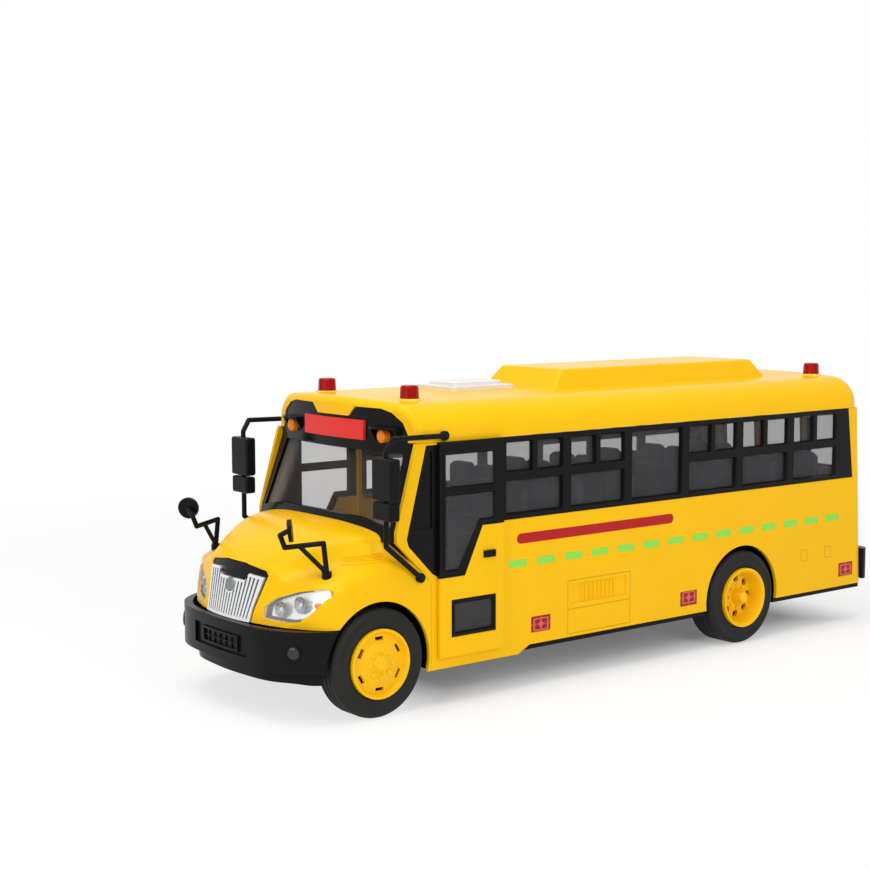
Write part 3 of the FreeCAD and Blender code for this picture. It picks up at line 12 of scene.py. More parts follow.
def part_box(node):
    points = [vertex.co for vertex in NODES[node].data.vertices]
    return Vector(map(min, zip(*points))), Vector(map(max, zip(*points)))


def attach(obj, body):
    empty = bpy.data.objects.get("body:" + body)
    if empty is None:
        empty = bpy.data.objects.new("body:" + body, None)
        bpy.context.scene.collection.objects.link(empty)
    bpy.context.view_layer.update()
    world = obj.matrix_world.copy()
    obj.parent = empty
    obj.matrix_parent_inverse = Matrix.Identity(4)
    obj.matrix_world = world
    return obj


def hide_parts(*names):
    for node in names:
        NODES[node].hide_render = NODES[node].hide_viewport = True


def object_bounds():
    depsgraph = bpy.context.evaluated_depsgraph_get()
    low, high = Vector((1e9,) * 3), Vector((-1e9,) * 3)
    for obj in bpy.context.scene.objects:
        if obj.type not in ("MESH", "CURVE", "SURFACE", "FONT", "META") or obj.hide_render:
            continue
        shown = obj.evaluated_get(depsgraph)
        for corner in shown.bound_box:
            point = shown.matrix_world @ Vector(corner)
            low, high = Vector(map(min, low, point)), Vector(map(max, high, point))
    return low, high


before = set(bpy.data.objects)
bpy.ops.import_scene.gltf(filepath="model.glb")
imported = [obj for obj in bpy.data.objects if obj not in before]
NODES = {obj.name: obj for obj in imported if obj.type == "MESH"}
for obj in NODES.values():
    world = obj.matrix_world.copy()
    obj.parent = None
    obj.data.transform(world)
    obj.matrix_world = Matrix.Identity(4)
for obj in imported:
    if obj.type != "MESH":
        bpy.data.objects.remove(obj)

bl_info = {
    "name": "Toy School Bus Dresser",
    "version": (1, 0, 0),
    "blender": (4, 5, 0),
    "location": "3D View > Sidebar > Toy Bus",
    "description": "Paints and trims a plastic toy school bus and sets up its studio",
    "category": "Object",
}

CAD_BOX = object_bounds()
MM = 0.001
SIDES = (("left", 1), ("right", -1))
ROOT = "bus"
FRONT_X = 128.0 * MM
REAR_X = -78.0 * MM
WHEEL_Z = 21.4 * MM


def in_mm(*rows):
    """Rows of numbers in millimetres as rows in metres."""
    return [tuple(value * MM for value in row) for row in rows]


def colour_choice(name, description, default):
    """A colour that a user may change."""
    return FloatVectorProperty(
        name=name, description=description, subtype="COLOR", min=0, max=1, default=default)


def length_choice(name, description, default):
    """A length that a user may change."""
    return FloatProperty(name=name, description=description, min=0, unit="LENGTH", default=default)


class BusColours(bpy.types.PropertyGroup):
    """Colours of the plastics, films, rubber and metal."""

    yellow: colour_choice("Yellow", "Body, roof, bonnet and rims", (0.90, 0.50, 0.004))
    black: colour_choice("Black", "Frames, bumpers and mirrors", (0.006, 0.006, 0.0065))
    smoke: colour_choice("Smoked glass", "Tint of the windows", (0.11, 0.11, 0.12))
    # The screen haze colour is a painted sheen: the tint of light reflected on the screen's curved edges.
    screen: colour_choice("Screen haze", "Tint of the screen where it is hazy", (0.30, 0.25, 0.22))
    red: colour_choice("Red lens", "Beacons, reflectors and tail lamps", (0.31, 0.0012, 0.0012))
    # The prism light colour fills the reflectors' lighter frame line and their painted glint: the bright
    # middle and the cross.
    prism: colour_choice("Prism light", "Light lines of the side reflectors", (0.78, 0.16, 0.13))
    sign: colour_choice("Sign red", "The blank panel above the screen", (0.72, 0.035, 0.03))
    amber: colour_choice("Amber lens", "Header lamps and indicators", (0.85, 0.22, 0.01))
    clear: colour_choice("Clear lens", "Covers of the headlamps", (0.86, 0.88, 0.90))
    fog: colour_choice("Fog lamp", "Dark lamps in the bumper", (0.022, 0.022, 0.025))
    bulb: colour_choice("Bulb", "Bulbs behind the headlamps' covers", (0.75, 0.77, 0.80))
    lime: colour_choice("Lime", "The dashes along the sides", (0.24, 0.70, 0.085))
    stripe: colour_choice("Stripe red", "The plain stripe above the dashes", (0.42, 0.012, 0.012))
    white: colour_choice("White", "Roof hatch", (0.76, 0.74, 0.73))
    rubber: colour_choice("Rubber", "Tyres", (0.017, 0.017, 0.016))
    seat: colour_choice("Seat grey", "Benches and dashboard", (0.045, 0.045, 0.05))
    chrome: colour_choice("Plating", "Grille and lamp bowls", (0.78, 0.79, 0.80))
    steel: colour_choice("Steel", "Axle rods", (0.52, 0.52, 0.53))


class BusTrim(bpy.types.PropertyGroup):
    """Sizes of the printed dashes and the plain stripe."""

    dash_length: length_choice("Dash length", "Length of one lime dash", 9.5 * MM)
    dash_height: length_choice("Dash height", "Height of one lime dash", 3.0 * MM)
    dash_pitch: length_choice("Dash pitch", "From one dash to the next", 15.4 * MM)
    dash_count: IntProperty(name="Dashes", description="Dashes on one side", default=14, min=1)
    dash_level: length_choice("Dash level", "Height of the dashes' middle", 52.4 * MM)
    stripe_length: length_choice("Stripe length", "Length of the plain red stripe", 91.0 * MM)
    stripe_height: length_choice("Stripe height", "Height of the plain red stripe", 4.2 * MM)
    stripe_level: length_choice("Stripe level", "Height of the red stripe's middle", 62.5 * MM)
    print_lift: length_choice("Print lift", "How far printed film stands off the wall", 0.06 * MM)


class BusStudio(bpy.types.PropertyGroup):
    """Camera and lamps."""

    camera_place: FloatVectorProperty(
        name="Camera", description="Where the camera stands", subtype="TRANSLATION",
        default=(0.4868, 0.5431, 0.1703))
    camera_yaw: FloatProperty(
        name="Yaw", description="Heading of the view from +X", subtype="ANGLE", default=math.radians(-128.0))
    camera_pitch: FloatProperty(
        name="Pitch", description="Tilt of the view", subtype="ANGLE", default=math.radians(-5.71))
    camera_roll: FloatProperty(
        name="Roll", description="Turn of the picture", subtype="ANGLE", default=math.radians(-0.12))
    lens: FloatProperty(
        name="Lens", description="Focal length on a 36 mm sensor", default=67.27, min=1)
    key_power: FloatProperty(
        name="Key lamp", description="Power of the overhead soft box in watts", default=4.6, min=0)
    side_power: FloatProperty(
        name="Side lamp", description="Power of the soft box beside the bus in watts", default=3.6, min=0)
    front_power: FloatProperty(
        name="Front lamp", description="Power of the soft box ahead of the bus in watts", default=2.0, min=0)
    sky: FloatProperty(
        name="Room light", description="Strength of the white room", default=0.55, min=0)


def math_form(operation, swapped=False):
    """A method of Wire that adds one Math node, with its two values swapped for a reflected form."""
    def form(self, *others):
        values = (self,) + others
        return self.shader.sum_up(operation, *(values[::-1] if swapped else values))
    return form


class Wire:
    """An output of a shader node, which can be used in plain arithmetic."""

    def __init__(self, shader, socket):
        self.shader = shader
        self.socket = socket

    __add__ = __radd__ = math_form("ADD")
    __mul__ = __rmul__ = math_form("MULTIPLY")
    __sub__ = math_form("SUBTRACT")
    __rsub__ = math_form("SUBTRACT", swapped=True)
    __truediv__ = math_form("DIVIDE")
    __pow__ = math_form("POWER")
    __gt__ = math_form("GREATER_THAN")
    __lt__ = math_form("LESS_THAN")
    __abs__ = math_form("ABSOLUTE")
    sine = math_form("SINE")
    least = math_form("MINIMUM")
    most = math_form("MAXIMUM")

    def clamp(self):
        return self.most(0.0).least(1.0)

    def wave(self, pitch):
        """From 0 to 1 and back, once in each pitch."""
        return (self * (math.tau / pitch)).sine() * 0.5 + 0.5


class Shader:
    """A material and the one method that adds nodes to it."""

    def __init__(self, name, tree=None):
        if tree is None:
            self.material = bpy.data.materials.new(name)
            self.material.use_nodes = True
            tree = self.material.node_tree
        self.tree = tree
        self.tree.nodes.clear()

    def sum_up(self, operation, *values):
        """One Math node on wires and numbers."""
        return self.node("ShaderNodeMath", {"operation": operation}, values)

    def node(self, kind, settings=None, values=(), output=0):
        """Add a node, set it up first, then fill its sockets with values or links."""
        made = self.tree.nodes.new(kind)
        for name, setting in (settings or {}).items():
            setattr(made, name, setting)
        pairs = values.items() if isinstance(values, dict) else enumerate(values)
        for key, value in pairs:
            socket = made.inputs[key]
            if isinstance(value, Wire):
                self.tree.links.new(value.socket, socket)
            elif socket.type == "RGBA" and len(value) == 3:
                socket.default_value = tuple(value) + (1.0,)
            else:
                socket.default_value = value
        return Wire(self, made.outputs[output]) if len(made.outputs) else None

    def place(self):
        return self.node("ShaderNodeTexCoord", output="Object")

    def noise(self, scale, detail=2.0, roughness=0.5):
        return self.node("ShaderNodeTexNoise", {}, {
            "Vector": self.place(), "Scale": scale, "Detail": detail, "Roughness": roughness})

    def moulded_skin(self):
        """Broad flow marks, a fine grain and scuffs."""
        return self.noise(38.0, 3.0), self.noise(1400.0, 2.0), self.noise(240.0, 4.0, 0.7)

    def axes(self):
        """The X, Y and Z of the surface point, in metres."""
        parts = self.node("ShaderNodeSeparateXYZ", {}, [self.place()])
        return [Wire(self, parts.socket.node.outputs[index]) for index in range(3)]

    def shade(self, colour, amount, pattern):
        """A colour made a little darker or lighter by a pattern from 0 to 1."""
        dark = [channel * (1 - amount) for channel in colour]
        light = [min(1.0, channel * (1 + amount)) for channel in colour]
        return self.blend(pattern, dark, light)

    def blend(self, pattern, low, high):
        """From one colour to another; a Mix node's colour sockets are 6 and 7, and its colour output 2."""
        return self.node("ShaderNodeMix", {"data_type": "RGBA"}, {0: pattern, 6: low, 7: high}, output=2)

    def bump(self, height, distance, strength):
        return self.node("ShaderNodeBump", {}, {"Height": height, "Distance": distance, "Strength": strength})

    def surface(self, values):
        body = self.node("ShaderNodeBsdfPrincipled", {}, values)
        self.node("ShaderNodeOutputMaterial", {}, {"Surface": body})
        return self.material


def paints():
    return bpy.context.scene.bus_colours


def moulded_plastic(name, colour, roughness, coat=0.0, grain=0.02 * MM, tone=0.04, sheen=0.5):
    """Injection-moulded plastic: faint flow shading, a fine skin and a slightly uneven gloss."""
    shader = Shader(name)
    flow, fine, scuff = shader.moulded_skin()
    return shader.surface({
        "Base Color": shader.shade(colour, tone, flow),
        "Roughness": scuff * 0.14 + (roughness - 0.07),
        "Specular IOR Level": sheen,
        "Coat Weight": coat,
        "Coat Roughness": 0.08,
        "Normal": shader.bump(fine, grain, 0.35),
    })


def yellow_plastic():
    return moulded_plastic("yellow_plastic", paints().yellow, 0.26, coat=0.03, sheen=0.08)


# The lockers' and brackets' edges: rear and front behind the front axle, low and high. Then a line's width,
# and the distance from the centre plane at which the walls start.
SIDE_LINES = in_mm((133.7, 97.3, 19.4, 29.8), (133.7, 97.3, 29.8, 41.9), (251.6, 247.4, 33.4, 38.6),
                   (268.9, 264.7, 33.4, 38.6))
LINE_WIDTH, WALL_START = 0.32 * MM, 49.0 * MM


def body_plastic():
    """The body's yellow plastic with the locker's and brackets' lines moulded into the sides as a bump, and
    darkened with painted shade.
    """
    shader = Shader("body_plastic")
    flow, fine, scuff = shader.moulded_skin()
    x, y, z = shader.axes()
    groove_and_shade = None
    for rear, front, low, high in SIDE_LINES:
        across = abs(x - (FRONT_X - (rear + front) / 2)) - (rear - front) / 2
        up = abs(z - (low + high) / 2) - (high - low) / 2
        line = (1.0 - abs(across.most(up)) / LINE_WIDTH).clamp()
        groove_and_shade = line if groove_and_shade is None else groove_and_shade.most(line)
    groove_and_shade = groove_and_shade * (abs(y) > WALL_START)
    base = shader.shade(paints().yellow, 0.04, flow)
    # Painted shade: the lines are darkened towards 0.45 of the yellow, as the shade inside the grooves.
    dark = [channel * 0.45 for channel in paints().yellow]
    return shader.surface({
        "Base Color": shader.blend(groove_and_shade * 0.8, base, dark),
        "Roughness": scuff * 0.14 + 0.19,
        "Specular IOR Level": 0.08,
        "Coat Weight": 0.03,
        "Coat Roughness": 0.08,
        "Normal": shader.bump(fine * 0.04 - groove_and_shade, 0.4 * MM, 0.35),
    })


def black_gloss():
    return moulded_plastic("black_gloss", paints().black, 0.17, tone=0.15, sheen=0.09)


def black_satin():
    return moulded_plastic("black_satin", paints().black, 0.30, grain=0.04 * MM, tone=0.25, sheen=0.09)


def smoked_glass():
    """The tinted sheet of the side and rear windows."""
    shader = Shader("smoked_glass")
    haze = shader.noise(60.0, 3.0)
    return shader.surface({
        "Base Color": shader.shade(paints().smoke, 0.3, haze),
        "Roughness": haze * 0.06 + 0.03,
        "Specular IOR Level": 0.12,
        "Alpha": haze * 0.06 + 0.24,
        "IOR": 1.5,
    })


def screen_plastic():
    """The clear screen, with a painted sheen where the moulded sheet curves round to the pillars: a lighter
    tint that turns more opaque there.
    """
    shader = Shader("screen_plastic")
    haze = shader.noise(40.0, 2.0)
    straight, bend = 30.0 * MM, 14.0 * MM
    # Painted sheen: towards the pillars the screen turns more opaque and shows the lighter tint.
    painted_sheen_band = ((abs(shader.axes()[1]) - straight) / bend).clamp()
    return shader.surface({
        "Base Color": shader.shade(paints().screen, 0.25, haze),
        "Roughness": haze * 0.05 + 0.03,
        "Specular IOR Level": 0.12,
        "Alpha": painted_sheen_band * 0.42 + 0.06,
        "IOR": 1.5,
    })


def lens(name, colour, rib_pitch):
    """A coloured lens with upright ribs."""
    shader = Shader(name)
    x, y = shader.axes()[:2]
    ribs = (x + y).wave(rib_pitch)
    depth = shader.noise(300.0, 2.0)
    return shader.surface({
        "Base Color": shader.shade(colour, 0.25, ribs * 0.7 + depth * 0.3),
        "Roughness": depth * 0.08 + 0.08,
        "Specular IOR Level": 0.12,
        "Normal": shader.bump(ribs, 0.12 * MM, 0.5),
    })


# The side reflectors: X of each middle, height of the middles, half length, half height and prism pitch.
REFLECTOR_MIDDLES = (45.8 * MM, -42.4 * MM, -152.8 * MM)
REFLECTOR_Z, REFLECTOR_LONG, REFLECTOR_TALL, PRISM_PITCH = 25.8 * MM, 5.2 * MM, 3.3 * MM, 1.3 * MM


def prism_reflector():
    """Red reflector with a grid of small prisms and a lighter frame line, with a painted glint of the prisms
    as a bright middle and a cross.
    """
    shader = Shader("prism_reflector")
    x, _, z = shader.axes()
    turns = math.tau / PRISM_PITCH
    facet = (x * turns).sine() * (z * turns).sine() * 0.5 + 0.5
    offsets = [abs(x - middle) for middle in REFLECTOR_MIDDLES]
    along = offsets[0].least(offsets[1]).least(offsets[2]) / REFLECTOR_LONG
    up = abs(z - REFLECTOR_Z) / REFLECTOR_TALL
    frame_line = abs(along.most(up) - 0.72) < 0.09
    # Painted glint: the bright middle and the cross stand in for light caught by the prisms.
    middle = (along * 1.8 + up) < 0.55
    cross = along.least(up) < 0.10
    pattern = (frame_line + middle + cross * 0.5).clamp()
    ruby = shader.shade(paints().red, 0.35, facet)
    return shader.surface({
        "Base Color": shader.blend(pattern * 0.7, ruby, paints().prism),
        "Roughness": facet * 0.12 + 0.10,
        "Specular IOR Level": 0.2,
        "Coat Weight": 0.08,
        "Normal": shader.bump(facet, 0.15 * MM, 0.6),
    })


def plated_plastic(name="plated_plastic", roughness=0.14, depth=1.0):
    """Bright plating, made darker by a depth under 1; for the lamp bowls this is painted shade inside the
    lamp.
    """
    shader = Shader(name)
    ripple = shader.noise(500.0, 3.0)
    return shader.surface({
        "Base Color": shader.shade([channel * depth for channel in paints().chrome], 0.05, ripple),
        "Metallic": 0.7,
        "Roughness": ripple * 0.12 + (roughness - 0.06),
        "Normal": shader.bump(ripple, 0.02 * MM, 0.4),
    })


def clear_lens():
    """The headlamps' clear cover with faint upright flutes."""
    shader = Shader("clear_lens")
    flute_pitch = 1.5 * MM
    flutes = shader.axes()[1].wave(flute_pitch)
    return shader.surface({
        "Base Color": shader.shade(paints().clear, 0.06, flutes),
        "Roughness": flutes * 0.05 + 0.04,
        "Alpha": flutes * 0.06 + 0.10,
        "IOR": 1.5,
        "Normal": shader.bump(flutes, 0.05 * MM, 0.3),
    })


def tyre_rubber(name, middle_x):
    """Matt rubber with fine mould ribs that run across the tread and round the sidewall."""
    shader = Shader(name)
    fine = shader.noise(900.0, 4.0, 0.65)
    broad = shader.noise(70.0, 2.0)
    x, _, z = shader.axes()
    turn = shader.sum_up("ARCTAN2", z - WHEEL_Z, x - middle_x)
    reach = ((x - middle_x) ** 2 + (z - WHEEL_Z) ** 2) ** 0.5
    rib_angle, shoulder_start = math.tau / 96, 20.3 * MM
    ring_pitch, ring_low, ring_high = 0.7 * MM, 16.6 * MM, 18.4 * MM
    shoulder = (reach > shoulder_start) * turn.wave(rib_angle)
    side = (reach < ring_high) * (reach > ring_low) * reach.wave(ring_pitch)
    return shader.surface({
        "Base Color": shader.shade(paints().rubber, 0.3, broad),
        "Roughness": fine * 0.2 + 0.52,
        "Specular IOR Level": 0.16,
        "Normal": shader.bump(shoulder * 0.8 + side * 0.3 + fine * 0.25, 0.12 * MM, 0.6),
    })


def fog_plastic():
    """Dark glossy plastic of the small lamps in the bumper."""
    return moulded_plastic("fog_lens", paints().fog, 0.12, coat=0.2, tone=0.2, sheen=0.3)


def seat_plastic():
    return moulded_plastic("seat_plastic", paints().seat, 0.5, grain=0.05 * MM, tone=0.1, sheen=0.2)


def drawn_steel():
    """Axle rod with fine turned rings."""
    shader = Shader("drawn_steel")
    rings = shader.node("ShaderNodeTexNoise", {"noise_dimensions": "1D"}, {
        "W": shader.axes()[1], "Scale": 3000.0, "Detail": 2.0})
    return shader.surface({
        "Base Color": shader.shade(paints().steel, 0.1, rings),
        "Metallic": 1.0,
        "Roughness": rings * 0.2 + 0.25,
        "Normal": shader.bump(rings, 0.02 * MM, 0.3),
    })


def printed_film(name, colour):
    """Flat ink with a fine speckle."""
    shader = Shader(name)
    speckle = shader.noise(700.0, 3.0)
    return shader.surface({
        "Base Color": shader.shade(colour, 0.06, speckle),
        "Roughness": speckle * 0.12 + 0.30,
        "Specular IOR Level": 0.15,
        "Normal": shader.bump(speckle, 0.01 * MM, 0.3),
    })


def paint(node_names, material):
    """Give carried-over nodes one material, with their own smooth shading kept."""
    for name in node_names:
        mesh = NODES[name].data
        mesh.materials.clear()
        mesh.materials.append(material)


def both(*stems):
    """The names of the left and right nodes of each stem."""
    return ["%s_%s" % (stem, side) for stem in stems for side, _ in SIDES]


def new_object(name, data):
    """A new object in the scene."""
    made = bpy.data.objects.new(name, data)
    bpy.context.scene.collection.objects.link(made)
    return made


def add_piece(name, mesh_maker, material, body):
    """Make a mesh piece, finish it, and let it ride on a body."""
    mesh = bpy.data.meshes.new(name)
    shape = bmesh.new()
    mesh_maker(shape)
    bmesh.ops.recalc_face_normals(shape, faces=shape.faces)
    shape.to_mesh(mesh)
    shape.free()
    mesh.materials.append(material)
    piece = new_object(name, mesh)
    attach(piece, body)
    return piece


def shade_smooth(piece):
    for polygon in piece.data.polygons:
        polygon.use_smooth = True


def soften(piece, width, segments=2, angle=math.radians(35)):
    """Round a piece's sharp edges and shade it smoothly."""
    bevel = piece.modifiers.new("soften", "BEVEL")
    bevel.width = width
    bevel.segments = segments
    bevel.limit_method = "ANGLE"
    bevel.angle_limit = angle
    bevel.harden_normals = True
    shade_smooth(piece)


def join_rows(shape, rows, closed):
    """Faces between rows of points, each row a loop; closed rows meet again at the end."""
    for here, after in zip(rows, rows[1:] + rows[:1] if closed else rows[1:]):
        count = len(here)
        for index in range(count):
            beyond = (index + 1) % count
            shape.faces.new((here[index], here[beyond], after[beyond], after[index]))
    if not closed:
        shape.faces.new(rows[0])
        shape.faces.new(rows[-1][::-1])


def add_slab(shape, outline, depth):
    """A closed slab from an outline of points, pushed along a depth vector."""
    join_rows(shape, [[shape.verts.new(Vector(point) + shift) for point in outline]
                      for shift in (Vector(), depth)], False)


def side_plate(shape, sign, middle_x, middle_z, half_x, half_z, radius, inner, outer, steps=4):
    """A plate with round corners on a side wall, between two distances from the centre plane."""
    outline = []
    for across, up, quarter in ((1, 1, 0), (-1, 1, 1), (-1, -1, 2), (1, -1, 3)):
        for step in range(steps + 1):
            angle = (quarter + step / steps) * math.pi / 2
            outline.append((middle_x + across * (half_x - radius) + radius * math.cos(angle), sign * inner,
                            middle_z + up * (half_z - radius) + radius * math.sin(angle)))
    add_slab(shape, outline, Vector((0, sign * (outer - inner), 0)))


def shrunk(outline, width):
    """A polygon of (across, up) pairs with each edge moved inwards by a width."""
    area = sum(a[0] * b[1] - b[0] * a[1] for a, b in zip(outline, outline[1:] + outline[:1]))
    turn = 1 if area > 0 else -1
    lines = []
    for start, end in zip(outline, outline[1:] + outline[:1]):
        run = Vector((end[0] - start[0], end[1] - start[1])).normalized()
        shift = Vector((-run.y, run.x)) * width * turn
        lines.append((Vector(start) + shift, run))
    corners = []
    for index, (point, run) in enumerate(lines):
        before, before_run = lines[index - 1]
        across = before_run.x * run.y - before_run.y * run.x
        gap = point - before
        share = (gap.x * run.y - gap.y * run.x) / across
        corners.append(tuple(before + before_run * share))
    return corners


def add_bead(shape, outline, sign, stations):
    """A closed ring round a side pane, from (inset, distance from the centre plane) pairs."""
    rows = [[shape.verts.new((x, sign * across, z)) for x, z in shrunk(outline, inset)]
            for inset, across in stations]
    join_rows(shape, rows, True)


def add_ball(shape, place, depth, radii, steps=16):
    """A closed ellipsoid behind a place on a cover."""
    made = bmesh.ops.create_uvsphere(shape, u_segments=steps, v_segments=steps // 2, radius=1.0)
    size = Matrix.Diagonal(Vector(radii).to_4d())
    middle = place - Vector((depth, 0, 0))
    bmesh.ops.transform(shape, matrix=Matrix.Translation(middle) @ size, verts=made["verts"])


def circle_rows(shape, middle, facing, section, steps):
    """A circle of points about a direction for each (along, radius) pair, or one point on the axis."""
    place = Matrix.Translation(middle) @ Vector(facing).to_track_quat("Z", "Y").to_matrix().to_4x4()
    angles = [math.tau * step / steps for step in range(steps)]
    return [[shape.verts.new(place @ Vector((radius * math.cos(angle), radius * math.sin(angle), along)))
             for angle in (angles if radius else angles[:1])] for along, radius in section]


def add_lathe(shape, middle, facing, profile, steps=32):
    """A turned form about a direction, from (along, radius) pairs that start and end on the axis."""
    rows = circle_rows(shape, middle, facing, profile, steps)
    for here, after in zip(rows, rows[1:]):
        for step in range(steps):
            beyond = (step + 1) % steps
            corners = [here[step % len(here)], here[beyond % len(here)],
                       after[beyond % len(after)], after[step % len(after)]]
            shape.faces.new(list(dict.fromkeys(corners)))


def add_hoop(shape, middle, facing, section, steps=32):
    """A closed ring turned about a direction, from (along, radius) pairs of its cross-section."""
    join_rows(shape, circle_rows(shape, middle, facing, section, steps), True)


@functools.cache
def skin_tree(node):
    """A node's faces, ready for rays."""
    mesh = NODES[node].data
    return BVHTree.FromPolygons([vertex.co for vertex in mesh.vertices],
                                [list(polygon.vertices) for polygon in mesh.polygons])


# Places clear of the bus that rays start from, ahead or above and beside, and how deep a rib is sunk.
AHEAD, BESIDE, SUNK = 0.3, 0.08, 0.2 * MM


def add_rib(shape, tree, start, end, sign, width, height, steps=10):
    """A low rib that follows a node's side skin between two (x, z) places."""
    spots = []
    for step in range(steps + 1):
        x, z = Vector(start).lerp(Vector(end), step / steps)
        hit, normal = tree.ray_cast(Vector((x, sign * BESIDE, z)), Vector((0, -sign, 0)))[:2]
        spots.append((hit, normal if normal.y * sign > 0 else -normal))
    rows = []
    for index, (hit, normal) in enumerate(spots):
        before, after = spots[max(index - 1, 0)][0], spots[min(index + 1, steps)][0]
        across = normal.cross(after - before).normalized() * width / 2
        rows.append([shape.verts.new(point) for point in (
            hit - across - normal * SUNK, hit + across - normal * SUNK,
            hit + across * 0.5 + normal * height, hit - across * 0.5 + normal * height)])
    join_rows(shape, rows, False)


def roof_level(x, y):
    """Height of the roof's outer skin at a place."""
    return skin_tree("roof").ray_cast(Vector((x, y, AHEAD)), Vector((0, 0, -1)))[0].z


def skin_point(node, y, z):
    """Where a ray from ahead meets a node's front, and the skin's normal there."""
    return skin_tree(node).ray_cast(Vector((AHEAD, y, z)), Vector((-1, 0, 0)))[:2]


class TOYBUS_OT_bodywork(bpy.types.Operator):
    """Finish the yellow bodywork, the base and the bumpers"""

    bl_idname = "toybus.bodywork"
    bl_label = "Finish Bodywork"

    def execute(self, context):
        yellow = yellow_plastic()
        paint(["roof", "bonnet", "roof_pod"] + both("door_panel"), yellow)
        paint(["body_shell"], body_plastic())
        black = black_satin()
        paint(["base_plate", "front_bumper", "rear_bumper", "grille_surround"], black)
        paint(both("side_mirror", "bonnet_mirror"), black)
        paint(["friction_drive", "seat_deck", "dashboard"], seat_plastic())
        paint(["roof_hatch"], moulded_plastic("white_plastic", paints().white, 0.45, tone=0.02, sheen=0.04))
        bonnet = skin_tree("bonnet")
        for side, sign in SIDES:
            def grip(shape):
                for index in range(GRIP_RIBS):
                    side_plate(shape, sign, GRIP_X - GRIP_PITCH * index, *GRIP_RIB)
            soften(add_piece("locker_grip_" + side, grip, yellow, ROOT), 0.1 * MM)

            def louvre(shape):
                for start, end in LOUVRE_RIBS:
                    add_rib(shape, bonnet, start, end, sign, LOUVRE_WIDTH, LOUVRE_RISE)
            add_piece("louvre_" + side, louvre, yellow, ROOT)
        return {"FINISHED"}


# The locker grip's ribs: how many, X of the first and their pitch. Then, as side_plate takes them, each
# rib's middle height, half width, half height, corner radius, and inner and outer distance from the centre.
GRIP_RIBS, GRIP_X, GRIP_PITCH = 9, FRONT_X - 105.6 * MM, 2.35 * MM
GRIP_RIB = in_mm((36.2, 0.55, 3.7, 0.3, 48.85, 49.35))[0]

# Ribs of the vent on the bonnet's flanks: where each starts and ends, as X and height.
LOUVRE_WIDTH, LOUVRE_RISE = 0.6 * MM, 0.32 * MM
LOUVRE_RIBS = [((FRONT_X + a, b), (FRONT_X + c, d)) for a, b, c, d in in_mm(
    (10.4, 59.5, -4.7, 60.0), (9.2, 61.9, -5.2, 63.2), (10.4, 59.5, 9.2, 61.9),
    (-4.7, 60.0, -5.2, 63.2), (9.0, 60.4, -4.2, 61.1), (8.6, 61.1, -4.4, 62.1))]


class TOYBUS_OT_windows(bpy.types.Operator):
    """Finish the window frames and the smoked glass"""

    bl_idname = "toybus.windows"
    bl_label = "Finish Windows"

    def execute(self, context):
        gloss = black_gloss()
        paint(["screen_mask", "rear_window_frame"], gloss)
        paint(both("window_band", "quarter_window", "door_frame"), gloss)
        paint(["rear_glass"] + both("window_glass", "door_glass"), smoked_glass())
        paint(["screen_glass"], screen_plastic())
        for side, sign in SIDES:
            for name, panes, section, body, width in (
                    ("bay_beads_", bay_panes(), BAY_BEAD, ROOT, 0.12 * MM),
                    ("door_beads_", door_panes(), DOOR_BEAD, "door_" + side, 0.15 * MM)):
                def beads(shape):
                    for pane in panes:
                        add_bead(shape, pane, sign, section)
                soften(add_piece(name + side, beads, gloss, body), width)
        return {"FINISHED"}


# The side windows: the first bay's front edge behind the front axle, and its repeats, in millimetres.
BAY_START, BAY_PITCH, BAY_LENGTH, BAY_COUNT, TALL_BAY = 63.0, 35.4167, 31.4167, 6, 2
# Heights of the lower panes' edges and of the upper panes' edges, and half the upright between two.
BAY_LOW, BAR_LOW, BAR_TOP, BAY_TOP, UPRIGHT = 72.6, 87.1, 89.9, 102.8, 1.0
# Corners of the door's lower pane, as distances behind the front axle and heights.
DOOR_PANE = ((30.3, 53.6), (30.3, 84.0), (55.7, 84.0), (55.7, 72.6), (48.4, 72.6), (37.5, 53.6))
# Cross-sections of the beads, as insets from the pane and distances from the centre plane.
BAY_BEAD = in_mm((-0.02, 49.62), (0.22, 49.62), (0.9, 47.83), (0.05, 47.83))
DOOR_BEAD = in_mm((-0.9, 51.37), (-0.5, 51.75), (0.1, 51.75), (0.7, 50.87), (0.05, 50.87), (0.02, 51.37))


def pane_corners(rear, front, low, high):
    """A rectangular pane from distances behind the front axle and heights, in millimetres."""
    return [(FRONT_X - distance * MM, height * MM) for distance, height in (
        (rear, low), (front, low), (front, high), (rear, high))]


def bay_panes():
    """The panes of all the bays: a low one and two high ones each, and one in the tall bay."""
    panes = []
    for index in range(BAY_COUNT):
        front = BAY_START + BAY_PITCH * index
        rear, middle = front + BAY_LENGTH, front + BAY_LENGTH / 2
        if index == TALL_BAY:
            panes.append(pane_corners(rear, front, BAY_LOW, BAY_TOP))
            continue
        panes.append(pane_corners(rear, front, BAY_LOW, BAR_LOW))
        panes.append(pane_corners(rear, middle + UPRIGHT, BAR_TOP, BAY_TOP))
        panes.append(pane_corners(middle - UPRIGHT, front, BAR_TOP, BAY_TOP))
    return panes


def door_panes():
    """The door's upper pane, its lower pane with the cut corner, and its low window."""
    lower = [(FRONT_X - distance * MM, height * MM) for distance, height in DOOR_PANE]
    return [pane_corners(55.7, 30.3, 86.4, 100.2), lower, pane_corners(55.0, 34.8, 28.5, 40.9)]


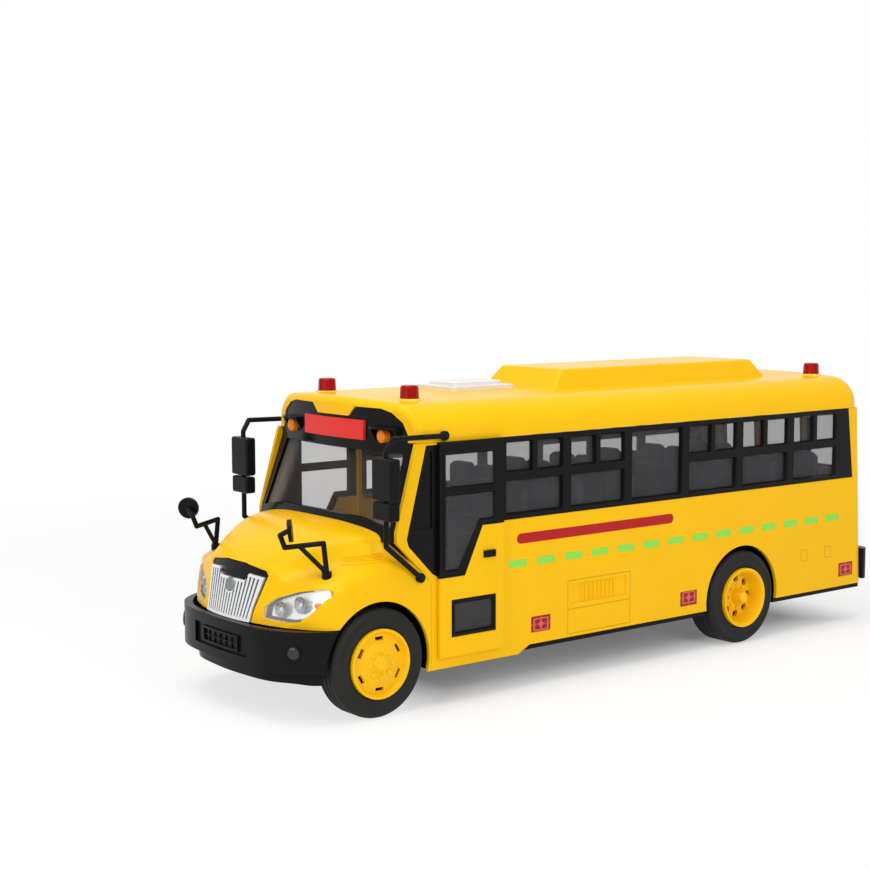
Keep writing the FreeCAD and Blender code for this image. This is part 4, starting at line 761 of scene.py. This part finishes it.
class TOYBUS_OT_lamps(bpy.types.Operator):
    """Finish lamps, reflectors, the grille and the blank sign"""

    bl_idname = "toybus.lamps"
    bl_label = "Finish Lamps"

    def execute(self, context):
        colours = paints()
        amber = lens("amber_lens", colours.amber, 1.2 * MM)
        paint(["beacons"], lens("beacon_lens", colours.red, 1.6 * MM))
        paint(["tail_lamps"], lens("tail_lens", colours.red, 1.2 * MM))
        paint(["side_reflectors"], prism_reflector())
        paint(["header_lamps"], amber)
        paint(["header_panel"], moulded_plastic("sign_plastic", colours.sign, 0.32, tone=0.05, sheen=0.15))
        paint(["grille"], plated_plastic())
        paint(both("headlamp"), clear_lens())
        finishes = {
            "bright": plated_plastic("lamp_plating", 0.22, 1.2), "amber": amber,
            # Painted shade: the bowls' plating is darkened to 0.35 for the shade inside the lamp.
            "deep": plated_plastic("bowl_plating", 0.10, 0.35),
            "bulb": moulded_plastic("bulb_glass", colours.bulb, 0.12, coat=0.8, tone=0.03),
        }
        fog, gloss = fog_plastic(), bpy.data.materials["black_gloss"]
        for side, sign in SIDES:
            self.add_headlamp(side, sign, finishes)
            self.add_fog_lamp(side, sign, fog)

            def hood(shape):
                add_lamp_hood(shape, sign)
            soften(add_piece("lamp_hood_" + side, hood, gloss, ROOT), 0.12 * MM)
        self.add_button()
        self.add_intake(gloss)
        self.add_beacon_seats()
        return {"FINISHED"}

    def add_headlamp(self, side, sign, finishes):
        """A plated back, two bowls with their bulbs and an amber lamp behind the clear cover."""
        node = "headlamp_" + side

        def back_plate(shape):
            shape.from_mesh(NODES[node].data)
            middle = sum(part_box(node), Vector()) / 2
            place = Matrix.Translation(middle - Vector((BACK_PLATE_DEPTH, 0, 0))) @ BACK_PLATE_SIZE
            bmesh.ops.transform(shape, matrix=place @ Matrix.Translation(-middle), verts=shape.verts)
        add_piece("lamp_back_" + side, back_plate, finishes["bright"], ROOT)

        def bowls(shape):
            for y, z, radius in LAMP_BOWLS:
                place = skin_point(node, y * sign, z)[0] - Vector((BOWL_DEPTH, 0, 0))
                add_lathe(shape, place, (1.0, BOWL_TURN * sign, 0.0), bowl_profile(radius))
        soften(add_piece("lamp_bowls_" + side, bowls, finishes["deep"], ROOT), 0.05 * MM, 1)

        def bulbs(shape):
            for y, z, _ in LAMP_BOWLS:
                add_ball(shape, skin_point(node, y * sign, z)[0], *BULB)
        add_piece("lamp_bulbs_" + side, bulbs, finishes["bulb"], ROOT)

        def turn_lamp(shape):
            y, z = TURN_PLACE
            add_ball(shape, skin_point(node, y * sign, z)[0], *TURN_LAMP)
        add_piece("turn_lamp_" + side, turn_lamp, finishes["amber"], ROOT)

    def add_fog_lamp(self, side, sign, fog):
        """A small round lamp in a ring on the bumper."""
        y, z = FOG_PLACE
        place, facing = skin_point("front_bumper", y * sign, z)

        def ring(shape):
            add_hoop(shape, place, facing, FOG_RING)
        soften(add_piece("fog_ring_" + side, ring, bpy.data.materials["black_satin"], ROOT), 0.1 * MM)

        def glass(shape):
            add_lathe(shape, place, facing, FOG_GLASS)
        add_piece("fog_glass_" + side, glass, fog, ROOT)

    def add_beacon_seats(self):
        """A low yellow ring round the foot of each beacon."""
        def seats(shape):
            for x in BEACON_XS:
                for y in (-BEACON_Y, BEACON_Y):
                    add_hoop(shape, Vector((x, y, roof_level(x, y))), (0, 0, 1), BEACON_SEAT)
        yellow = bpy.data.materials["yellow_plastic"]
        soften(add_piece("beacon_seats", seats, yellow, ROOT), 0.12 * MM)

    def add_button(self):
        """A plain dark disc in the middle of the grille."""
        place = skin_point("grille", 0.0, BUTTON_LEVEL)[0]

        def button(shape):
            add_lathe(shape, place, GRILLE_LEAN, BUTTON, 48)
        dark = plated_plastic("button_plating", 0.34, 0.28)
        soften(add_piece("grille_button", button, dark, ROOT), 0.08 * MM)

    def add_intake(self, gloss, steps=6):
        """A frame with fine bars in the bumper's mouth, bowed like its floor."""
        def intake(shape):
            for near, far, low, high, rise in INTAKE_BARS:
                rows = []
                for step in range(steps + 1):
                    y = near + (far - near) * step / steps
                    x = skin_point("front_bumper", y, MOUTH_LEVEL)[0].x
                    rows.append([shape.verts.new((x + ahead, y, z)) for ahead, z in (
                        (-SUNK, low), (rise, low), (rise, high), (-SUNK, high))])
                join_rows(shape, rows, False)
        soften(add_piece("intake_frame", intake, gloss, ROOT), 0.1 * MM)


# The bumper's mouth: its level, and its bars from and to across the bus, low and high edges, and rise.
MOUTH_LEVEL = 28.6 * MM
INTAKE_BARS = in_mm(
    (-13.2, 13.2, 30.7, 31.6, 0.95), (-13.2, 13.2, 25.3, 26.2, 0.95), (-13.2, -12.1, 26.2, 30.7, 0.95),
    (12.1, 13.2, 26.2, 30.7, 0.95), (-12.1, 12.1, 28.25, 28.65, 0.5),
    *[(middle - 0.2, middle + 0.2, 26.2, 30.7, 0.55) for middle in (-8.4, -4.2, 0.0, 4.2, 8.4)])
# The bowls behind a headlamp's cover: distance from the centre plane, height and radius. Then how far back
# they lie and their turn outwards, and how far back the back plate lies and its size to the cover.
LAMP_BOWLS = in_mm((28.0, 43.2, 3.0), (36.0, 45.6, 3.1))
BOWL_DEPTH, BOWL_TURN, BACK_PLATE_DEPTH = 3.4 * MM, 0.25, 3.6 * MM
BACK_PLATE_SIZE = Matrix.Diagonal((1.0, 0.90, 0.88, 1.0))
# Lamp bodies behind the cover: how far back, and the three radii.
BULB = (2.3 * MM, (0.9 * MM, 0.7 * MM, 0.7 * MM))
TURN_LAMP = (2.4 * MM, (0.9 * MM, 2.2 * MM, 1.2 * MM))
# Where small lamps sit: distance from the centre plane and height.
TURN_PLACE, FOG_PLACE = in_mm((42.6, 45.6), (40.5, 28.6))
# Turned forms, as (along, radius) pairs: the fog lamps' ring and glass, a beacon's seat, the grille's disc.
FOG_RING = in_mm((-0.5, 2.35), (0.55, 2.5), (0.55, 3.1), (-0.5, 3.3))
FOG_GLASS = in_mm((-0.4, 0.0), (-0.4, 2.4), (0.15, 2.4), (0.4, 1.5), (0.5, 0.0))
BEACON_SEAT = in_mm((-0.8, 4.05), (0.55, 4.05), (0.55, 4.5), (-0.8, 5.0))
BUTTON = in_mm((-0.9, 0.0), (-0.9, 2.9), (0.3, 2.85), (0.5, 2.6), (0.55, 0.0))
# Where the beacons stand, and the grille disc's height and the way that it faces.
BEACON_XS, BEACON_Y = (FRONT_X - 30.0 * MM, FRONT_X - 277.0 * MM), 29.0 * MM
BUTTON_LEVEL, GRILLE_LEAN = 49.4 * MM, (0.974, 0, 0.229)
# The header: how far it lies behind the front axle and the radius of its bow.
HEADER_BACK, HEADER_BOW = 13.2 * MM, 192.0 * MM


def bowl_profile(radius):
    """A thin bowl as (along, radius) pairs, from its floor over the rim to its foot."""
    floor, rim, wall, foot = 0.5 * MM, 1.9 * MM, 0.25 * MM, -0.4 * MM
    return [(0.0, 0.0), (floor, radius * 0.45), (rim, radius), (rim, radius + wall),
            (foot, radius * 0.5), (foot, 0.0)]


def header_face(y):
    """X of the header's bowed face at a distance from the centre plane."""
    return FRONT_X - HEADER_BACK - (HEADER_BOW - math.sqrt(HEADER_BOW * HEADER_BOW - y * y))


def add_lamp_hood(shape, sign, steps=8):
    """A visor fin above one header lamp, with a cheek at each end."""
    near, far, low, high = 26.0 * MM, 40.0 * MM, 109.35 * MM, 110.3 * MM
    sunk, reach, taper, lap = 0.3 * MM, 4.2 * MM, 0.28, 0.1 * MM
    cheek_reach, cheek_drop, cheek_width = 2.9 * MM, 5.2 * MM, 0.8 * MM
    back, edge = [], []
    for step in range(steps + 1):
        y = near + (far - near) * step / steps
        ahead = reach * (1 - taper * abs(2 * step / steps - 1) ** 3)
        back.append((header_face(y) - sunk, sign * y, low))
        edge.append((header_face(y) + ahead, sign * y, low))
    add_slab(shape, back + edge[::-1], Vector((0, 0, high - low)))
    for y, turn in ((near, 1), (far, -1)):
        x = header_face(y)
        cheek = [(x + ahead, sign * y, low + up) for ahead, up in (
            (-sunk, lap), (cheek_reach, lap), (-sunk, -cheek_drop))]
        add_slab(shape, cheek, Vector((0, cheek_width * sign * turn, 0)))


class TOYBUS_OT_running_gear(bpy.types.Operator):
    """Finish wheels and axles"""

    bl_idname = "toybus.running_gear"
    bl_label = "Finish Running Gear"

    def execute(self, context):
        for end, middle_x in (("front", FRONT_X), ("rear", REAR_X)):
            rubber = tyre_rubber(end + "_rubber", middle_x)
            for side, sign in SIDES:
                node = "%s_tyre_%s" % (end, side)
                inner, outer = sorted(abs(corner.y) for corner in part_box(node))

                def tyre(shape):
                    middle = Vector((middle_x, 0, WHEEL_Z))
                    add_hoop(shape, middle, (0, sign, 0), tyre_profile(inner, outer), 96)
                piece = add_piece(node + "_tread", tyre, rubber, end + "_axle_set")
                shade_smooth(piece)
                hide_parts(node)
                paint([node], rubber)
        rim = moulded_plastic("rim_plastic", paints().yellow, 0.36, coat=0.03, sheen=0.14)
        paint(both("front_rim", "rear_rim"), rim)
        paint(["front_axle", "rear_axle"], drawn_steel())
        # Painted shade: black slabs on the floors of the front rims' slots and black plugs in the rear rims'
        # holes.
        dark = bpy.data.materials["black_satin"]
        for side, sign in SIDES:
            def slots(shape):
                for index in range(SLOT_COUNT):
                    corners = slot_corners(sign, math.tau / SLOT_COUNT * index)
                    add_slab(shape, corners, Vector((0, sign * SLOT_DEPTH, 0)))
            add_piece("rim_slots_" + side, slots, dark, "front_axle_set")

            def holes(shape):
                add_circle(shape, REAR_X, sign, HOLE_CIRCLE, HOLE_START, HOLE_SHADE)
            add_piece("rim_holes_" + side, holes, dark, "rear_axle_set")

            def bosses(shape):
                add_circle(shape, FRONT_X, sign, BOSS_CIRCLE, BOSS_START, BOSS)
            soften(add_piece("rim_bosses_" + side, bosses, rim, "front_axle_set"), 0.05 * MM)
        for end, middle_x, face, rise in HUB_CAPS:
            for side, sign in SIDES:
                def cap(shape):
                    middle = Vector((middle_x, sign * face, WHEEL_Z))
                    add_lathe(shape, middle, (0, sign, 0), cap_profile(rise))
                piece = add_piece("%s_hub_cap_%s" % (end, side), cap, rim, end + "_axle_set")
                soften(piece, 0.15 * MM)
        return {"FINISHED"}


# The front rims' slots, each floored with a black slab of painted shade: how many, where the slabs start
# from the centre plane, their depth, and the slots' corners.
SLOT_COUNT, SLOT_START, SLOT_DEPTH = 6, 45.7 * MM, 2.2 * MM
SLOT = ((-1.85, 9.25), (1.85, 9.25), (1.85, 10.55), (-1.85, 10.55))
# A hole in the rear rim, filled with a black plug of painted shade, and a boss on the front one: the radius
# of their circle, where they start from the centre plane, and their profile.
HOLE_CIRCLE, HOLE_START = 8.2 * MM, 41.1 * MM
HOLE_SHADE = in_mm((0.0, 0.0), (0.0, 1.66), (2.6, 1.66), (2.6, 0.0))
BOSS_CIRCLE, BOSS_START = 5.25 * MM, 50.0 * MM
BOSS = in_mm((0.0, 0.0), (0.0, 1.15), (0.62, 1.05), (0.85, 0.7), (0.9, 0.0))
# The hub caps: axle, its X, the hub's face and the cap's rise. The rear one covers the end of the rod.
HUB_CAPS = (("front", FRONT_X, 51.0 * MM, 0.6 * MM), ("rear", REAR_X, 49.0 * MM, 2.1 * MM))


def cap_profile(rise):
    """A low dome as (along, radius) pairs."""
    foot, wide, shoulder, top = -0.2 * MM, 2.7 * MM, 2.55 * MM, 1.9 * MM
    return [(foot, 0.0), (foot, wide), (rise * 0.7, shoulder), (rise, top), (rise, 0.0)]


def add_circle(shape, middle_x, sign, radius, across, profile, count=8, steps=20):
    """Small turned forms in a circle round a hub."""
    for index in range(count):
        turn = math.tau / count * index
        x, z = middle_x + radius * math.sin(turn), WHEEL_Z + radius * math.cos(turn)
        add_lathe(shape, Vector((x, sign * across, z)), (0, sign, 0), profile, steps)


def slot_corners(sign, turn):
    """Corners of one slot in a front rim."""
    return [(FRONT_X + (across * math.cos(turn) - up * math.sin(turn)) * MM, sign * SLOT_START,
             WHEEL_Z + (across * math.sin(turn) + up * math.cos(turn)) * MM) for across, up in SLOT]


# The tyres, in millimetres: tread radius, grooves' places across the tread, half widths and depth.
TREAD, GROOVES, GROOVE_TOP, GROOVE_FLOOR, GROOVE_DEPTH = 21.39, (0.7, 0.5, 0.3), 0.5, 0.35, 0.7
# Both sides of a tyre, as distances in from its face and radii.
OUTER_SIDE = ((0.6, 13.65), (0.2, 14.3), (0.0, 14.9), (0.0, 16.2), (0.2, 16.45), (0.2, 18.4), (0.02, 18.7),
              (0.1, 19.4), (0.45, 20.2), (0.95, 20.8), (1.5, 21.2), (2.1, TREAD))
INNER_SIDE = ((2.0, TREAD), (1.2, 21.05), (0.6, 20.5), (0.15, 19.6), (0.0, 18.8), (0.0, 13.65))


def tyre_profile(inner, outer):
    """Cross-section of a tyre: bead, sidewall with a low ring, round shoulders and three tread grooves."""
    profile = [(outer - inwards * MM, radius * MM) for inwards, radius in OUTER_SIDE]
    for share in GROOVES:
        middle = inner + (outer - inner) * share
        for across, depth in ((GROOVE_TOP, 0.0), (GROOVE_FLOOR, GROOVE_DEPTH),
                              (-GROOVE_FLOOR, GROOVE_DEPTH), (-GROOVE_TOP, 0.0)):
            profile.append((middle + across * MM, (TREAD - depth) * MM))
    return profile + [(inner + inwards * MM, radius * MM) for inwards, radius in INNER_SIDE]


class TOYBUS_OT_markings(bpy.types.Operator):
    """Print the lime dashes and the plain red stripe on both sides"""

    bl_idname = "toybus.markings"
    bl_label = "Print Markings"

    first_dash: FloatProperty(
        name="First dash", description="X of the first dash's middle", default=58.5 * MM, unit="LENGTH")
    stripe_middle: FloatProperty(
        name="Stripe middle", description="X of the red stripe's middle", default=13.5 * MM, unit="LENGTH")

    def execute(self, context):
        trim = context.scene.bus_trim
        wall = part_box("quarter_window_left")[1].y
        lime = printed_film("lime_film", paints().lime)
        red = printed_film("red_film", paints().stripe)
        film = (wall + PRINT_GAP, wall + trim.print_lift)
        for side, sign in SIDES:
            def dashes(shape):
                for index in range(trim.dash_count):
                    side_plate(shape, sign, self.first_dash - index * trim.dash_pitch, trim.dash_level,
                               trim.dash_length / 2, trim.dash_height / 2, DASH_ROUND, *film)
            add_piece("lime_dashes_" + side, dashes, lime, ROOT)

            def stripe(shape):
                half = trim.stripe_height / 2
                side_plate(shape, sign, self.stripe_middle, trim.stripe_level, trim.stripe_length / 2, half,
                           half - PRINT_GAP, *film)
            add_piece("red_stripe_" + side, stripe, red, ROOT)
        return {"FINISHED"}


# The film's gap to the wall, also left between the stripe's round ends, and a dash's corner radius.
PRINT_GAP, DASH_ROUND = 0.01 * MM, 0.3 * MM


class TOYBUS_OT_stage(bpy.types.Operator):
    """Set up the floor, the white room, the soft boxes and the camera"""

    bl_idname = "toybus.stage"
    bl_label = "Set Up Stage"

    def execute(self, context):
        studio = context.scene.bus_studio
        self.add_floor()
        self.light_room(context.scene, studio)
        for name, place, size, power in SOFT_BOXES:
            self.add_soft_box(name, Vector(place), size, getattr(studio, power))
        self.add_camera(context.scene, studio)
        return {"FINISHED"}

    def add_floor(self):
        """Pale paper that keeps the shadow and is plain white away from it, also in reflections."""
        mesh = bpy.data.meshes.new("floor")
        shape = bmesh.new()
        bmesh.ops.create_grid(shape, x_segments=2, y_segments=2, size=6.0)
        shape.to_mesh(mesh)
        shape.free()
        floor = new_object("floor", mesh)
        floor.location.z = CAD_BOX[0].z
        shader = Shader("floor_paper")
        x, y = shader.axes()[:2]
        far = (((x * x + y * y) ** 0.5 - FAR_START) / FAR_WIDTH).clamp()
        outside = (abs(x - SHADE_X) - SHADE_LONG).most(abs(y) - SHADE_WIDE)
        open_floor = ((outside + SHADE_LAP) / SHADE_EDGE).clamp()
        share = open_floor * OPEN_WHITE + far * FAR_WHITE + UNDER_WHITE
        paper = shader.node("ShaderNodeBsdfDiffuse", {}, {"Color": (0.92, 0.92, 0.92)})
        white = shader.node("ShaderNodeEmission", {}, {"Color": (1, 1, 1), "Strength": 1.0})
        mixed = shader.node("ShaderNodeMixShader", {}, [share * self.seen(shader), paper, white])
        shader.node("ShaderNodeOutputMaterial", {}, {"Surface": mixed})
        mesh.materials.append(shader.material)

    def seen(self, shader):
        """1 where the camera or a reflection looks, also through clear plastic, and 0 for other light."""
        rays = shader.node("ShaderNodeLightPath").socket.node.outputs
        camera, glossy, through = [
            Wire(shader, rays["Is %s Ray" % kind]) for kind in ("Camera", "Glossy", "Transmission")]
        return (camera + glossy + through).clamp()

    def light_room(self, scene, studio):
        """A room that gives even light and looks plain white."""
        world = bpy.data.worlds.new("white_room")
        world.use_nodes = True
        scene.world = world
        shader = Shader("white_room", world.node_tree)
        strength = self.seen(shader) * (1.0 - studio.sky) + studio.sky
        room = shader.node("ShaderNodeBackground", {}, {"Color": (1, 1, 1), "Strength": strength})
        shader.node("ShaderNodeOutputWorld", {}, {"Surface": room})

    def add_soft_box(self, name, place, size, power):
        lamp = bpy.data.lights.new(name, "AREA")
        lamp.shape = "SQUARE"
        lamp.size = size
        lamp.energy = power
        box = new_object(name, lamp)
        box.location = place
        box.rotation_euler = (LAMP_AIM - place).to_track_quat("-Z", "Y").to_euler()

    def add_camera(self, scene, studio):
        data = bpy.data.cameras.new("camera")
        data.lens = studio.lens
        data.sensor_width = 36.0
        data.clip_start = 0.01
        camera = new_object("camera", data)
        level = math.cos(studio.camera_pitch)
        heading = Vector((math.cos(studio.camera_yaw) * level, math.sin(studio.camera_yaw) * level,
                          math.sin(studio.camera_pitch)))
        turn = heading.to_track_quat("-Z", "Y").to_matrix().to_4x4()
        roll = Matrix.Rotation(studio.camera_roll, 4, "Z")
        camera.matrix_world = Matrix.Translation(Vector(studio.camera_place)) @ turn @ roll
        scene.camera = camera
        scene.view_settings.view_transform = "Standard"


# The soft boxes: where each stands, its size and the setting that holds its power. Then what they aim at.
SOFT_BOXES = (
    ("overhead_box", (0.3, 0.05, 0.9), 0.6, "key_power"),
    ("side_box", (0.1, 1.1, 0.6), 0.45, "side_power"),
    ("front_box", (1.1, 0.35, 0.4), 0.6, "front_power"),
)
LAMP_AIM = Vector((0.0, 0.0, 0.06))
# The floor's share of plain white under the bus, and what the open floor and the far floor add to it.
UNDER_WHITE, OPEN_WHITE, FAR_WHITE = 0.14, 0.58, 0.28
# The shaded floor: X of its middle, half length, half width, and its soft edge's start inside it and width.
# Then the far floor: its distance and the width of its soft edge.
SHADE_X, SHADE_LONG, SHADE_WIDE, SHADE_LAP, SHADE_EDGE = -0.03, 0.12, 0.04, 0.012, 0.04
FAR_START, FAR_WIDTH = 0.25, 0.35


class TOYBUS_PT_panel(bpy.types.Panel):
    """Lists the steps that dress the toy bus"""

    bl_idname = "TOYBUS_PT_panel"
    bl_label = "Toy Bus"
    bl_space_type = "VIEW_3D"
    bl_region_type = "UI"
    bl_category = "Toy Bus"

    def draw(self, context):
        column = self.layout.column()
        for operator in OPERATORS:
            column.operator(operator.bl_idname)
        for group in (context.scene.bus_colours, context.scene.bus_trim, context.scene.bus_studio):
            box = self.layout.box()
            for name in group.bl_rna.properties.keys():
                if name not in ("rna_type", "name"):
                    box.prop(group, name)


GROUPS = (BusColours, BusTrim, BusStudio)
OPERATORS = (
    TOYBUS_OT_stage, TOYBUS_OT_bodywork, TOYBUS_OT_windows, TOYBUS_OT_lamps, TOYBUS_OT_running_gear,
    TOYBUS_OT_markings,
)
CLASSES = GROUPS + OPERATORS + (TOYBUS_PT_panel,)


def register():
    for made in CLASSES:
        bpy.utils.register_class(made)
    bpy.types.Scene.bus_colours = PointerProperty(type=BusColours)
    bpy.types.Scene.bus_trim = PointerProperty(type=BusTrim)
    bpy.types.Scene.bus_studio = PointerProperty(type=BusStudio)


def unregister():
    del bpy.types.Scene.bus_studio
    del bpy.types.Scene.bus_trim
    del bpy.types.Scene.bus_colours
    for made in reversed(CLASSES):
        bpy.utils.unregister_class(made)


def main():
    register()
    for operator in OPERATORS:
        group, name = operator.bl_idname.split(".")
        getattr(getattr(bpy.ops, group), name)()


if __name__ == "__main__":
    main()
